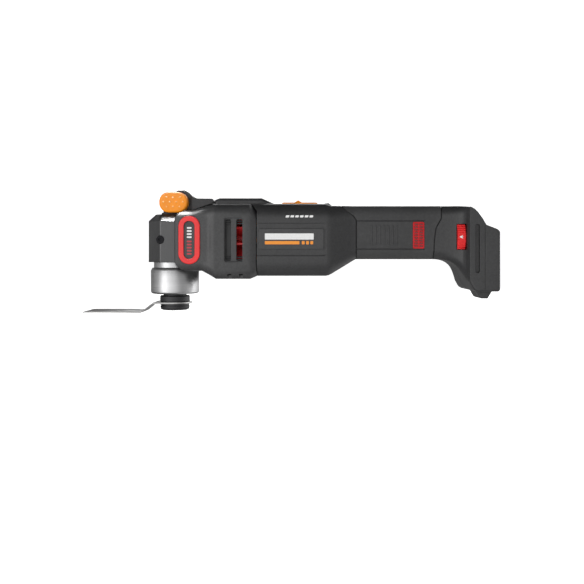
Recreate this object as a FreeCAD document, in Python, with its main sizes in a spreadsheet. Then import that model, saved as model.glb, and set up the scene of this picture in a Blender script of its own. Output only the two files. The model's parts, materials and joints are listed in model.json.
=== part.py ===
import FreeCAD, Part
import math
import os
import Sketcher

# Cordless oscillating multi-tool. Millimetres. X runs from the blade to the battery foot, Z is up,
# and Y = 0 is the plane of symmetry. The origin is on the spindle axis, on the face the blade seats on.

V = FreeCAD.Vector
doc = FreeCAD.newDocument("OscillatingTool")

SIZES = [
    # gear head
    ("head_front", -20.7, "front face"),
    ("head_front_half", 13, "half width of the front face"),
    ("head_facet_x", -8.8, "where the front facet meets the side"),
    ("head_half", 23, "half width"),
    ("head_rear", 26, "rear face"),
    ("head_low", 34.8, "underside"),
    ("head_top", 76, "top"),
    ("head_chamfer", 6, "chamfer round the top"),
    ("head_cavity_r", 17, "gear cavity radius"),
    ("head_cavity_top", 62.4, "gear cavity ceiling"),
    ("head_screw_r", 3.4, "head screw radius"),
    ("head_screw_deep", 2.5, "head screw counterbore depth"),
    ("motor_z", 54, "motor axis height"),
    # collar
    ("collar_r", 20.9, "collar radius"),
    ("collar_low", 7.4, "collar underside"),
    ("collar_top", 29.8, "collar top"),
    ("collar_bevel", 1.2, "collar edge bevel"),
    ("neck_r", 18.3, "neck radius"),
    ("collar_lip_r", 13.4, "bore at the flange"),
    ("collar_bore_r", 14, "bore above the bearing"),
    # spindle and clamp
    ("spindle_r", 10, "spindle radius at the lower bearing"),
    ("spindle_mid_r", 8, "spindle radius at the fork"),
    ("spindle_top_r", 7, "spindle radius at the upper bearing"),
    ("spindle_top", 70, "spindle top"),
    ("jaw_bore_r", 7.6, "bore round the jaws"),
    ("jaw_bore_top", 36, "ceiling of the jaw bore"),
    ("spring_bore_r", 5.2, "bore round the spring"),
    ("spring_seat", 44, "shoulder the spring stands on"),
    ("flange_r", 12.9, "spindle flange radius"),
    ("flange_top", 5.4, "spindle flange top"),
    ("flange_bore_r", 9, "spindle flange bore"),
    ("drive_pin_r", 1.2, "drive pin radius"),
    ("drive_pin_circle", 10.95, "drive pin circle radius"),
    ("drive_pin_long", 1, "drive pin length"),
    ("bolt_r", 4.95, "clamp bolt shank radius"),
    ("bolt_top", 28, "clamp bolt top"),
    ("bolt_head_r", 12.6, "clamp bolt head radius"),
    ("bolt_head_low", -7, "clamp bolt underside"),
    ("jaw_r", 7.2, "jaw radius"),
    ("jaw_low", 14, "jaw underside"),
    ("jaw_top", 31, "jaw top"),
    ("rod_r", 2.6, "release rod radius"),
    ("rod_collar_z", 58, "release rod collar underside"),
    ("rod_cap_r", 4.9, "release rod cap radius"),
    ("rod_cap_low", 72.8, "release rod cap underside"),
    ("rod_cap_top", 79.65, "release rod cap top"),
    ("running_fit", 0.05, "radial running clearance"),
    ("lower_bearing_z", 14, "lower spindle bearing underside"),
    ("lower_bearing_long", 10, "lower spindle bearing height"),
    ("lower_bearing_r", 16, "lower spindle bearing radius"),
    ("upper_bearing_z", 63, "upper spindle bearing underside"),
    ("upper_bearing_long", 7, "upper spindle bearing height"),
    ("upper_bearing_r", 11, "upper spindle bearing radius"),
    # blade
    ("blade_half", 17.5, "half width of the blade"),
    ("blade_thick", 1.2, "blade thickness at the seat"),
    ("blade_tip", -76.6, "cutting edge"),
    ("blade_drop", -7.8, "top of the lowered flat"),
    ("blade_low", -8.8, "underside of the lowered flat"),
    ("crank_low_x", -26.6, "foot of the crank"),
    ("crank_top_x", -16.8, "top of the crank"),
    ("seat_r", 15, "radius of the blade's seat"),
    ("tooth_deep", 1.6, "tooth depth"),
    ("hole_play", 0.15, "clearance round the bolt and drive pins"),
    # lever and hub
    ("lever_z", 86.1, "lever pin height"),
    ("lever_pin_r", 2.5, "lever pin radius"),
    ("lever_hub_r", 8.2, "lever hub radius"),
    ("lever_half", 8.6, "half width of the lever between the cheeks"),
    ("lever_tail_half", 12, "half width of the lever's tail"),
    ("lever_tail_x", 35.2, "end of the lever's tail"),
    ("lever_top", 89.7, "top of the lever's tail"),
    ("hump_top", 97.1, "top of the lever's hump"),
    ("cam_r", 6, "cam radius at rest"),
    ("cam_rise", 2.5, "cam rise over the lever's travel"),
    ("cam_sweep", 115, "lever travel in degrees"),
    ("cam_half", 5.2, "half width of the cam"),
    ("cheek_half", 12, "outside of the hub's cheeks"),
    ("cheek_gap", 9, "inside of the hub's cheeks"),
    ("hub_plate_top", 77.6, "top of the hub's plate"),
    ("wing_half", 21, "outside of the grip wings"),
    ("wing_x", 1.8, "centre of the grip wings"),
    ("wing_long", 24.1, "length of the grip wings"),
    ("wing_tall", 17.6, "height of the grip wings"),
    ("wing_round", 8.2, "corner radius of the grip wings"),
    # drive
    ("throw", 0.8, "eccentric throw"),
    ("ecc_r", 5, "eccentric radius"),
    ("ecc_bearing_r", 8, "eccentric bearing radius"),
    ("fork_gap", 10.1, "half gap between the fork's arms"),
    ("fork_arm", 4, "fork arm thickness"),
    ("fork_reach", 24, "end of the fork's arms"),
    ("shaft_r", 3.5, "motor shaft radius"),
    ("shaft_start", 12.5, "front end of the motor shaft"),
    ("shaft_end", 118, "rear end of the motor shaft"),
    ("fan_r", 25, "fan radius"),
    ("fan_x", 54, "front of the fan"),
    ("fan_long", 9, "fan depth"),
    ("core_x", 73.6, "front of the stator"),
    ("core_long", 30, "stator length"),
    ("core_r", 24, "stator radius"),
    ("core_bore_r", 12.2, "stator bore"),
    ("rotor_r", 11.5, "rotor radius"),
    # body
    ("wall", 2.6, "housing wall"),
    ("cover_x", 3.9, "front of the cover"),
    ("cover_half", 28.5, "half width of the cover at the head"),
    ("vent_half", 31, "half width of the cover at the vents"),
    ("vent_step_x", 32.5, "where the cover widens"),
    ("cover_low", 27.5, "underside of the cover at the head"),
    ("cover_belly", 20.7, "underside of the cover at the vents"),
    ("cover_brow", 79, "top of the cover at the head"),
    ("cover_top", 84.2, "top of the cover"),
    ("seam_x", 73.2, "seam between cover and main housing"),
    ("main_half", 30, "half width of the main housing"),
    ("main_low", 23.1, "underside of the main housing"),
    ("main_top", 84.9, "top of the main housing"),
    ("main_round", 13.5, "corner radius of the main housing"),
    ("taper_x", 132, "start of the taper to the grip"),
    ("grip_x", 158, "end of the taper"),
    ("grip_half", 22, "half width of the grip"),
    ("grip_low", 37.3, "underside of the grip"),
    ("grip_top", 83.1, "top of the grip"),
    ("grip_round", 9, "corner radius of the grip"),
    ("spine_half", 13, "half width of the spine"),
    ("spine_x", 36.3, "front of the spine"),
    ("spine_top", 90.1, "top of the spine"),
    # slide switch
    ("slider_x", 94.2, "front of the slide switch"),
    ("slider_long", 31, "length of the slide switch"),
    ("slider_half", 8, "half width of the slide switch"),
    ("slider_low", 84.6, "underside of the slide switch plate"),
    ("slider_top", 86.6, "top of the slide switch plate"),
    ("slider_travel", 6, "travel of the slide switch"),
    ("slider_floor", 84.2, "floor of the slide switch recess"),
    # rear
    ("rear_x", 224, "start of the rear housing's flare"),
    ("seam_gap", 0.5, "gap at the seam of cover and main housing"),
    ("groove", 1, "depth of the seam grooves"),
    ("groove_half", 0.48, "half width of the seam grooves"),
    ("foot_x", 252.5, "front of the foot's flat side"),
    ("foot_top", 81.8, "top of the foot"),
    ("foot_half", 32, "half width of the foot"),
    ("foot_low", 10.35, "underside of the foot"),
    ("foot_rear", 278, "rear face of the foot"),
    ("channel_x", 262, "front wall of the battery channel"),
    ("channel_lip_x", 273.4, "inside of the channel's lips"),
    ("channel_half", 27, "half width of the channel"),
    ("channel_mouth", 22, "half width between the channel's lips"),
    ("channel_low", 14, "floor of the channel"),
    ("dial_r", 17, "speed dial radius"),
    ("dial_x", 246.8, "speed dial centre"),
    ("dial_y", -9.2, "speed dial axis offset"),
    ("dial_z", 56.4, "speed dial axis height"),
    ("dial_wide", 7, "speed dial width"),
    ("dial_window", 7.6, "speed dial window width"),
    ("dial_window_tall", 21.7, "speed dial window height"),
]

sheet = doc.addObject("Spreadsheet::Sheet", "dims")
for row, (alias, amount, meaning) in enumerate(SIZES, start=1):
    sheet.set(f"A{row}", meaning)
    sheet.set(f"B{row}", str(amount))
    sheet.setAlias(f"B{row}", alias)
doc.recompute()
NAMES = {alias for alias, amount, meaning in SIZES}


def bound(text):
    """The expression with every size name pointed at the sheet. Words are separated by spaces."""
    return " ".join(f"dims.{word}" if word in NAMES else word for word in str(text).split())


def size(text):
    """The expression's value in millimetres or degrees."""
    return float(sheet.evalExpression(bound(text)))


def bind(thing, prop, text):
    """Tie a property to an expression of the sheet's sizes."""
    thing.setExpression(prop, bound(text))


TURNS = {
    "Z": FreeCAD.Rotation(),
    "X": FreeCAD.Rotation(V(0, 1, 0), 90),
    "Y": FreeCAD.Rotation(V(1, 0, 0), -90),
}


def place(thing, where):
    for axis, text in zip("xyz", where):
        bind(thing, f"Placement.Base.{axis}", text)


def cylinder(label, radius, length, where, axis="Z"):
    rod = doc.addObject("Part::Cylinder", label)
    rod.Placement.Rotation = TURNS[axis]
    bind(rod, "Radius", radius)
    bind(rod, "Height", length)
    place(rod, where)
    return rod


def block(label, low, high):
    """A box between two opposite corners."""
    brick = doc.addObject("Part::Box", label)
    for prop, first, last in zip(("Length", "Width", "Height"), low, high):
        bind(brick, prop, f"( {last} ) - ( {first} )")
    place(brick, low)
    return brick


def boolean(kind, label):
    """A boolean feature whose faces stay as they are cut, because lofted faces don't merge cleanly."""
    feature = doc.addObject(kind, label)
    feature.Refine = False
    return feature


def joined(label, things):
    if len(things) == 1:
        return things[0]
    union = boolean("Part::MultiFuse", label)
    union.Shapes = things
    return union


def cut(label, base, tools):
    rest = boolean("Part::Cut", label)
    rest.Base = base
    rest.Tool = joined(f"{label}_tools", tools)
    return rest


def common(label, base, tool):
    overlap = boolean("Part::Common", label)
    overlap.Base = base
    overlap.Tool = tool
    return overlap


def group(label, things):
    """Separate solids kept under one name."""
    bundle = doc.addObject("Part::Compound", label)
    bundle.Links = things
    return bundle


def plane_of(body, role):
    return [item for item in body.Origin.OriginFeatures if item.Role == role][0]


def outline(body, name, role, points, offset="0"):
    """A closed polygon sketch with every corner bound to the sheet."""
    sketch = body.newObject("Sketcher::SketchObject", name)
    sketch.AttachmentSupport = [(plane_of(body, role), "")]
    sketch.MapMode = "FlatFace"
    bind(sketch, "AttachmentOffset.Base.z", offset)
    corners = [V(size(across), size(along), 0) for across, along in points]
    count = len(corners)
    for index, corner in enumerate(corners):
        sketch.addGeometry(Part.LineSegment(corner, corners[(index + 1) % count]), False)
    for index in range(count):
        sketch.addConstraint(Sketcher.Constraint("Coincident", index, 2, (index + 1) % count, 1))
    for index, (corner, texts) in enumerate(zip(corners, points)):
        for kind, amount, text, own_axis in (
            ("DistanceX", corner.x, texts[0], -2),
            ("DistanceY", corner.y, texts[1], -1),
        ):
            if abs(amount) < 1e-9:
                sketch.addConstraint(Sketcher.Constraint("PointOnObject", index, 1, own_axis))
                continue
            number = sketch.addConstraint(Sketcher.Constraint(kind, -1, 1, index, 1, amount))
            bind(sketch, f"Constraints[{number}]", text)
    return sketch


def turned(label, points, role="XZ_Plane", axis="V_Axis"):
    """A solid of revolution of the polygon about the sketch's own axis."""
    body = doc.addObject("PartDesign::Body", label)
    sketch = outline(body, f"{label}_profile", role, points)
    spin = body.newObject("PartDesign::Revolution", f"{label}_turn")
    spin.Profile = sketch
    spin.ReferenceAxis = (sketch, [axis])
    spin.Angle = 360
    return body


def padded(label, role, points, length, offset="0", symmetric=True):
    """The polygon padded by the length, on both sides of its plane unless told otherwise."""
    body = doc.addObject("PartDesign::Body", label)
    sketch = outline(body, f"{label}_profile", role, points, offset)
    pad = body.newObject("PartDesign::Pad", f"{label}_pad")
    pad.Profile = sketch
    pad.SideType = "Symmetric" if symmetric else "One side"
    bind(pad, "Length", length)
    return body


def dressed(body, kind, amount, chosen):
    """Fillet or chamfer the body's edges for which chosen(edge) holds."""
    doc.recompute()
    base = body.Tip
    names = [f"Edge{n}" for n, edge in enumerate(base.Shape.Edges, start=1) if chosen(edge)]
    dress = body.newObject(f"PartDesign::{kind}", f"{body.Name}_{kind}{len(body.Group)}")
    dress.Base = (base, names)
    bind(dress, "Radius" if kind == "Fillet" else "Size", amount)
    doc.recompute()
    return body


def along(edge, axis):
    """True for a straight edge parallel to the axis."""
    if not isinstance(edge.Curve, Part.Line):
        return False
    return abs(abs(edge.Curve.Direction.dot(axis)) - 1) < 1e-6


def middle(edge):
    return edge.valueAt((edge.FirstParameter + edge.LastParameter) / 2)


X_AXIS, Y_AXIS, Z_AXIS = V(1, 0, 0), V(0, 1, 0), V(0, 0, 1)


def section(body, name, station, half, low, high, corner):
    """A rounded rectangle across the tool at the station."""
    sketch = body.newObject("Sketcher::SketchObject", name)
    sketch.AttachmentSupport = [(plane_of(body, "YZ_Plane"), "")]
    sketch.MapMode = "FlatFace"
    bind(sketch, "AttachmentOffset.Base.z", station)
    side, base, top, bend = size(half), size(low), size(high), size(corner)
    centres = [V(side - bend, base + bend, 0), V(side - bend, top - bend, 0),
               V(bend - side, top - bend, 0), V(bend - side, base + bend, 0)]
    for index, centre in enumerate(centres):
        start = math.radians(90 * index - 90)
        circle = Part.Circle(centre, Z_AXIS, bend)
        sketch.addGeometry(Part.ArcOfCircle(circle, start, start + math.pi / 2), False)
    for index, centre in enumerate(centres):
        begin = sketch.Geometry[index].EndPoint
        finish = sketch.Geometry[(index + 1) % 4].StartPoint
        sketch.addGeometry(Part.LineSegment(begin, finish), False)
        sketch.addConstraint(Sketcher.Constraint("Tangent", index, 2, 4 + index, 1))
        sketch.addConstraint(Sketcher.Constraint("Tangent", 4 + index, 2, (index + 1) % 4, 1))
    for index in range(3):
        sketch.addConstraint(Sketcher.Constraint("Equal", index, index + 1))
    sketch.addConstraint(Sketcher.Constraint("Vertical", 4))
    for kind, line, amount, text in (
        ("DistanceX", 4, side, half),
        ("DistanceX", 6, -side, f"0 - ( {half} )"),
        ("DistanceY", 5, top, high),
        ("DistanceY", 7, base, low),
    ):
        number = sketch.addConstraint(Sketcher.Constraint(kind, -1, 1, line, 1, amount))
        bind(sketch, f"Constraints[{number}]", text)
    number = sketch.addConstraint(Sketcher.Constraint("Radius", 0, bend))
    bind(sketch, f"Constraints[{number}]", corner)
    return sketch


def lofted(label, stations, ruled=True):
    """A loft through rounded rectangles: station, half width, low, high and corner radius."""
    body = doc.addObject("PartDesign::Body", label)
    sketches = [section(body, f"{label}_section{n}", *row) for n, row in enumerate(stations)]
    loft = body.newObject("PartDesign::AdditiveLoft", f"{label}_loft")
    loft.Profile = sketches[0]
    loft.Sections = sketches[1:]
    loft.Ruled = ruled
    return body


def tablet(label, across, upright, through, corner):
    """A rounded rectangle of the side view, given as spans of X and Z, padded through a span of Y."""
    (left, right), (low, high), (near, far) = across, upright, through
    corners = [(left, low), (right, low), (right, high), (left, high)]
    body = padded(label, "XZ_Plane", corners, f"( {far} ) - ( {near} )", f"0 - ( {far} )", False)
    return dressed(body, "Fillet", corner, lambda edge: along(edge, Y_AXIS))


def sides(inner, outer):
    """The same span of Y on the left and on the right of the tool."""
    return (("left", (f"0 - ( {outer} )", f"0 - ( {inner} )")), ("right", (inner, outer)))


def ring(label, outer, inner, length, where, axis="Z"):
    start = list(where)
    tube = cylinder(f"{label}_outside", outer, length, start, axis)
    bore = cylinder(f"{label}_bore", inner, length, start, axis)
    return cut(label, tube, [bore])


def mirrored(label, source):
    """The same piece on the other side of the plane of symmetry."""
    twin = doc.addObject("Part::Mirroring", label)
    twin.Source = source
    twin.Normal = Y_AXIS
    return twin


nodes = []


def node(thing, label):
    thing.Label = label
    nodes.append(thing)
    return thing


# ---------------------------------------------------------------- gear head
head_plan = [
    ("head_front", "0 - head_front_half"), ("head_facet_x", "0 - head_half"),
    ("head_rear", "0 - head_half"), ("head_rear", "head_half"),
    ("head_facet_x", "head_half"), ("head_front", "head_front_half"),
]
head_blank = padded("head_blank", "XY_Plane", head_plan, "head_top - head_low", "head_low", False)
dressed(head_blank, "Chamfer", "head_chamfer",
        lambda edge: middle(edge).z > size("head_top") - 0.1 and middle(edge).x < size("head_rear") - 0.1)
dressed(head_blank, "Fillet", "2.5", lambda edge: along(edge, Z_AXIS) and edge.Vertexes[0].X < 0)
head_tools = [
    cylinder("head_cavity", "head_cavity_r", "head_cavity_top - head_low", ("0", "0", "head_low")),
    cylinder("head_motor_bore", "head_cavity_r", "head_rear", ("0", "0", "motor_z"), "X"),
    cylinder("head_bearing_pocket", "upper_bearing_r",
             "upper_bearing_z + upper_bearing_long - head_cavity_top", ("0", "0", "head_cavity_top")),
    cylinder("head_cap_hole", "rod_cap_r + running_fit", "head_top - spindle_top", ("0", "0", "spindle_top")),
    block("head_lamp_pocket", ("head_front", "-5", "42"), ("head_front + 3", "5", "47.4")),
]
for sign in (-1, 1):
    seat = "head_half - head_screw_deep" if sign > 0 else "0 - head_half"
    head_tools.append(cylinder(f"head_counterbore{sign}", "head_screw_r + 0.2", "head_screw_deep",
                               ("head_facet_x", seat, "motor_z"), "Y"))
    start = "16" if sign > 0 else "0 - head_half + head_screw_deep"
    head_tools.append(cylinder(f"head_screw_hole{sign}", "1.9", "head_half - head_screw_deep - 16",
                               ("head_facet_x", start, "motor_z"), "Y"))
node(cut("gear_head", head_blank, head_tools), "gear_head_case")

head_screws = []
for sign in (-1, 1):
    seat = "head_half - head_screw_deep" if sign > 0 else "0 - head_half + 0.2"
    start = "16" if sign > 0 else "0 - head_half + head_screw_deep"
    cap = cylinder(f"head_screw_cap{sign}", "head_screw_r", "head_screw_deep - 0.2",
                   ("head_facet_x", seat, "motor_z"), "Y")
    shank = cylinder(f"head_screw_shank{sign}", "1.9", "head_half - head_screw_deep - 16",
                     ("head_facet_x", start, "motor_z"), "Y")
    socket_y = "head_half - 1.8" if sign > 0 else "0 - head_half"
    socket = cylinder(f"head_screw_socket{sign}", "1.6", "1.8", ("head_facet_x", socket_y, "motor_z"), "Y")
    head_screws.append(cut(f"head_screw{sign}", joined(f"head_screw_blank{sign}", [cap, shank]), [socket]))
node(group("head_screw_pair", head_screws), "head_screws")

node(block("lamp_lens", ("head_front", "-5", "42"), ("head_front + 2", "5", "47.4")), "led_lens")
node(block("lamp_board", ("head_front + 2", "-5", "42"), ("head_front + 3", "5", "47.4")), "led_board")

collar_profile = [
    ("collar_lip_r", "collar_low"),
    ("collar_r - collar_bevel", "collar_low"), ("collar_r", "collar_low + collar_bevel"),
    ("collar_r", "collar_top - 2 * collar_bevel"), ("collar_r - collar_bevel", "collar_top"),
    ("neck_r", "collar_top"), ("neck_r", "head_low"),
    ("head_cavity_r", "head_low"), ("head_cavity_r", "head_low + 3.4"),
    ("collar_bore_r", "head_low + 3.4"),
    ("collar_bore_r", "lower_bearing_z + lower_bearing_long"),
    ("lower_bearing_r", "lower_bearing_z + lower_bearing_long"),
    ("lower_bearing_r", "lower_bearing_z"), ("collar_lip_r", "lower_bearing_z"),
]
node(turned("collar", collar_profile), "head_collar")

node(ring("seal", "collar_lip_r", "spindle_r + 0.3", "3.5", ("0", "0", "10")), "lip_seal")
node(ring("lower_race", "lower_bearing_r", "spindle_r + running_fit", "lower_bearing_long",
          ("0", "0", "lower_bearing_z")), "lower_spindle_bearing")
node(ring("upper_race", "upper_bearing_r", "spindle_top_r + running_fit", "upper_bearing_long",
          ("0", "0", "upper_bearing_z")), "upper_spindle_bearing")

# ---------------------------------------------------------------- spindle, fork and clamp
spindle_profile = [
    ("jaw_bore_r", "0"), ("flange_bore_r", "0"), ("flange_bore_r", "flange_top"), ("spindle_r", "flange_top"),
    ("spindle_r", "38"), ("spindle_mid_r", "38"), ("spindle_mid_r", "head_cavity_top"),
    ("spindle_top_r", "head_cavity_top"), ("spindle_top_r", "spindle_top"),
    ("spring_bore_r", "spindle_top"), ("spring_bore_r", "spring_seat"),
    ("rod_r + running_fit", "spring_seat"), ("rod_r + running_fit", "jaw_bore_top"),
    ("jaw_bore_r", "jaw_bore_top"),
]
node(turned("spindle", spindle_profile), "output_spindle")

DRIVE_PINS = 12
flange_profile = [
    ("flange_bore_r", "0"), ("flange_r - 0.6", "0"), ("flange_r", "0.6"),
    ("flange_r", "flange_top - 0.6"), ("flange_r - 0.6", "flange_top"), ("flange_bore_r", "flange_top"),
]


def on_pin_circle(prefix, radius, low, tall):
    """Cylinders evenly spaced on the drive pin circle."""
    pins = []
    for step in range(DRIVE_PINS):
        turn = 2 * math.pi * (step + 0.5) / DRIVE_PINS
        where = (f"drive_pin_circle * {math.cos(turn):.6f}", f"drive_pin_circle * {math.sin(turn):.6f}", low)
        pins.append(cylinder(f"{prefix}{step}", radius, tall, where))
    return pins


flange_pins = on_pin_circle("drive_pin", "drive_pin_r", "0 - drive_pin_long", "drive_pin_long + 0.5")
node(joined("drive_flange", [turned("flange_blank", flange_profile)] + flange_pins), "spindle_flange")

fork_blank = [cylinder("fork_hub", "12", "14", ("0", "0", "motor_z - 7"))]
for sign, name in ((-1, "left"), (1, "right")):
    inner = "fork_gap" if sign > 0 else "0 - fork_gap - fork_arm"
    outer = "fork_gap + fork_arm" if sign > 0 else "0 - fork_gap"
    fork_blank.append(block(f"fork_arm_{name}", ("0", inner, "motor_z - 6"),
                            ("fork_reach", outer, "motor_z + 6")))
fork_bore = cylinder("fork_bore", "spindle_mid_r", "14", ("0", "0", "motor_z - 7"))
node(cut("fork", joined("fork_blank", fork_blank), [fork_bore]), "oscillating_fork")

bolt_profile = [
    ("0", "bolt_head_low + 2.5"), ("3", "bolt_head_low + 2.5"), ("3", "bolt_head_low"),
    ("bolt_head_r - 1.8", "bolt_head_low"), ("bolt_head_r - 0.5", "bolt_head_low + 0.6"),
    ("bolt_head_r", "bolt_head_low + 1.8"),
    ("bolt_head_r", "bolt_head_low + 3.4"), ("bolt_head_r - 0.5", "bolt_head_low + 3.6"),
    ("bolt_head_r - 0.5", "bolt_head_low + 4.1"), ("bolt_head_r", "bolt_head_low + 4.3"),
    ("bolt_head_r", "0 - blade_thick"),
    ("bolt_r", "0 - blade_thick"), ("bolt_r", "bolt_top - 1"), ("bolt_r - 1", "bolt_top"), ("0", "bolt_top"),
]
node(turned("bolt", bolt_profile), "clamp_bolt")

TEETH = 20
blade_side = [
    ("seat_r", "0"), ("crank_top_x", "0"), ("crank_low_x", "blade_drop"), ("blade_tip", "blade_drop"),
    ("blade_tip", "blade_low"), ("crank_low_x - 0.4", "blade_low"),
    ("crank_top_x - 0.4", "0 - blade_thick"), ("seat_r", "0 - blade_thick"),
]
blade_plan = [("crank_low_x", "0 - blade_half"), ("crank_top_x", "0 - seat_r")]
for step in range(-5, 6):
    turn = math.radians(step * 18)
    blade_plan.append((f"seat_r * {math.cos(turn):.6f}", f"seat_r * {math.sin(turn):.6f}"))
blade_plan += [("crank_top_x", "seat_r"), ("crank_low_x", "blade_half")]
for step in range(TEETH):
    edge = 1 - 2 * step / TEETH
    blade_plan.append(("blade_tip + tooth_deep", f"blade_half * {edge:.6f}"))
    blade_plan.append(("blade_tip", f"blade_half * {edge - 1 / TEETH:.6f}"))
blade_plan.append(("blade_tip + tooth_deep", "0 - blade_half"))
blade_strip = padded("blade_strip", "XZ_Plane", blade_side, "2 * blade_half")
blade_shape = padded("blade_shape", "XY_Plane", blade_plan, "40")
blade_holes = on_pin_circle("blade_hole", "drive_pin_r + hole_play", "0 - blade_thick", "blade_thick")
blade_holes.append(cylinder("blade_bore", "bolt_r + hole_play", "blade_thick", ("0", "0", "0 - blade_thick")))
node(cut("plunge_blade", common("blade_blank", blade_strip, blade_shape), blade_holes), "blade")

rod_profile = [
    ("0", "jaw_top"), ("jaw_r", "jaw_top"), ("jaw_r", "jaw_top + 2"), ("rod_r", "jaw_top + 2"),
    ("rod_r", "rod_collar_z"), ("spring_bore_r - 0.35", "rod_collar_z"),
    ("spring_bore_r - 0.35", "rod_collar_z + 2"), ("rod_r", "rod_collar_z + 2"),
    ("rod_r", "rod_cap_low"), ("rod_cap_r", "rod_cap_low"), ("rod_cap_r", "rod_cap_top - 0.6"),
    ("rod_cap_r - 0.6", "rod_cap_top"), ("0", "rod_cap_top"),
]
node(turned("rod", rod_profile), "release_rod")

jaw_tube = ring("jaw_tube", "jaw_r", "bolt_r + 0.1", "jaw_top - jaw_low", ("0", "0", "jaw_low"))
jaw_slot = block("jaw_slot", ("0 - jaw_r", "-0.6", "jaw_low"), ("jaw_r", "0.6", "jaw_top"))
node(cut("jaws", jaw_tube, [jaw_slot]), "clamp_jaws")

spring_helix = doc.addObject("Part::Helix", "spring_helix")
spring_helix.Pitch = 2.4
spring_helix.Height = 12.6
bind(spring_helix, "Radius", "4")
place(spring_helix, ("0", "0", "spring_seat + 0.6"))
spring_wire = doc.addObject("Part::Circle", "spring_wire")
bind(spring_wire, "Radius", "0.5")
spring_wire.Placement.Rotation = FreeCAD.Rotation(X_AXIS, 90)
place(spring_wire, ("4", "0", "spring_seat + 0.6"))
spring = doc.addObject("Part::Sweep", "spring")
spring.Sections = [spring_wire]
spring.Spine = spring_helix
spring.Solid = True
spring.Frenet = True
node(spring, "clamp_spring")

# ---------------------------------------------------------------- hub, wings and lever
hub_parts = [block("hub_plate", ("-9.5", "0 - cheek_half", "head_top"), ("14", "cheek_half", "hub_plate_top"))]
for sign, name in ((-1, "left"), (1, "right")):
    inner = "cheek_gap" if sign > 0 else "0 - cheek_half"
    outer = "cheek_half" if sign > 0 else "0 - cheek_gap"
    hub_parts.append(cylinder(f"cheek_{name}", "8", "cheek_half - cheek_gap", ("0", inner, "lever_z"), "Y"))
    hub_parts.append(block(f"cheek_foot_{name}", ("-8", inner, "hub_plate_top"), ("8", outer, "lever_z")))
hub_tools = [
    block("hub_slot", ("-9.5", "0 - cam_half - 0.8", "head_top"), ("9.5", "cam_half + 0.8", "hub_plate_top")),
    cylinder("hub_pin_bore", "lever_pin_r", "2 * cheek_half", ("0", "0 - cheek_half", "lever_z"), "Y"),
]
node(cut("hub", joined("hub_blank", hub_parts), hub_tools), "hub_base")
node(cylinder("pivot", "lever_pin_r", "2 * cheek_half", ("0", "0 - cheek_half", "lever_z"), "Y"), "lever_pin")

wing = tablet(
    "wing", ("wing_x - wing_long / 2", "wing_x + wing_long / 2"),
    ("lever_z - wing_tall / 2", "lever_z + wing_tall / 2"), ("0 - wing_half", "0 - cheek_half"), "wing_round")
dressed(wing, "Fillet", "1.8", lambda edge: middle(edge).y < 0.1 - size("wing_half"))
node(wing, "grip_wing_left")
node(mirrored("wing_twin", wing), "grip_wing_right")

CAM_STEPS = 16
CAM_OVERRUN = 10
cam_profile = []
for step in range(CAM_STEPS + 1):
    swing = -CAM_OVERRUN + (size("cam_sweep") + 2 * CAM_OVERRUN) * step / CAM_STEPS
    turn = math.radians(-90 - swing)
    reach = f"( cam_r + cam_rise * {swing:.4f} / cam_sweep )"
    cam_profile.append((f"{reach} * {math.cos(turn):.6f}", f"lever_z + {reach} * {math.sin(turn):.6f}"))
cam_profile.append(("cam_r", "lever_z + cam_r"))
cam_profile.append(("cam_r", "lever_z - 2"))
arm_profile = [
    ("0", "lever_z - lever_hub_r + 0.6"), ("8", "79.5"), ("19", "80.2"), ("32.5", "85"),
    ("lever_tail_x", "86.2"), ("lever_tail_x", "lever_top - 1"), ("lever_tail_x - 1", "lever_top"),
    ("21.3", "lever_top + 0.2"), ("17", "lever_top + 2"), ("13.2", "hump_top - 1.8"), ("10", "hump_top"),
    ("4", "hump_top"), ("0", "lever_z + lever_hub_r - 0.6"),
]
tail_profile = [
    ("16", "79.9"), ("19", "80.2"), ("32.5", "85"), ("lever_tail_x", "86.2"),
    ("lever_tail_x", "lever_top - 1"), ("lever_tail_x - 1", "lever_top"), ("21.3", "lever_top + 0.2"),
    ("17", "lever_top + 2"), ("16", "lever_top + 2.6"),
]
lever_web = joined("lever_web", [
    cylinder("lever_hub", "lever_hub_r", "2 * lever_half", ("0", "0 - lever_half", "lever_z"), "Y"),
    padded("lever_arm", "XZ_Plane", arm_profile, "2 * lever_half"),
    padded("lever_tail", "XZ_Plane", tail_profile, "2 * lever_tail_half"),
])
cam_rooms = [
    block("cam_room", ("-8.6", "0 - cam_half", "lever_z - lever_hub_r"), ("3.2", "cam_half", "lever_z + 3")),
    block("cap_room", ("0", "0 - cam_half", "lever_z - lever_hub_r"), ("6.2", "cam_half", "lever_z - 5.6")),
]
cam = padded("lever_cam", "XZ_Plane", cam_profile, "2 * cam_half")
lever_bore = cylinder("lever_bore", "lever_pin_r + running_fit", "2 * lever_half",
                      ("0", "0 - lever_half", "lever_z"), "Y")
lever_blank = joined("lever_blank", [cut("lever_relieved", lever_web, cam_rooms), cam])
node(cut("lever", lever_blank, [lever_bore]), "lever_body")

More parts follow.
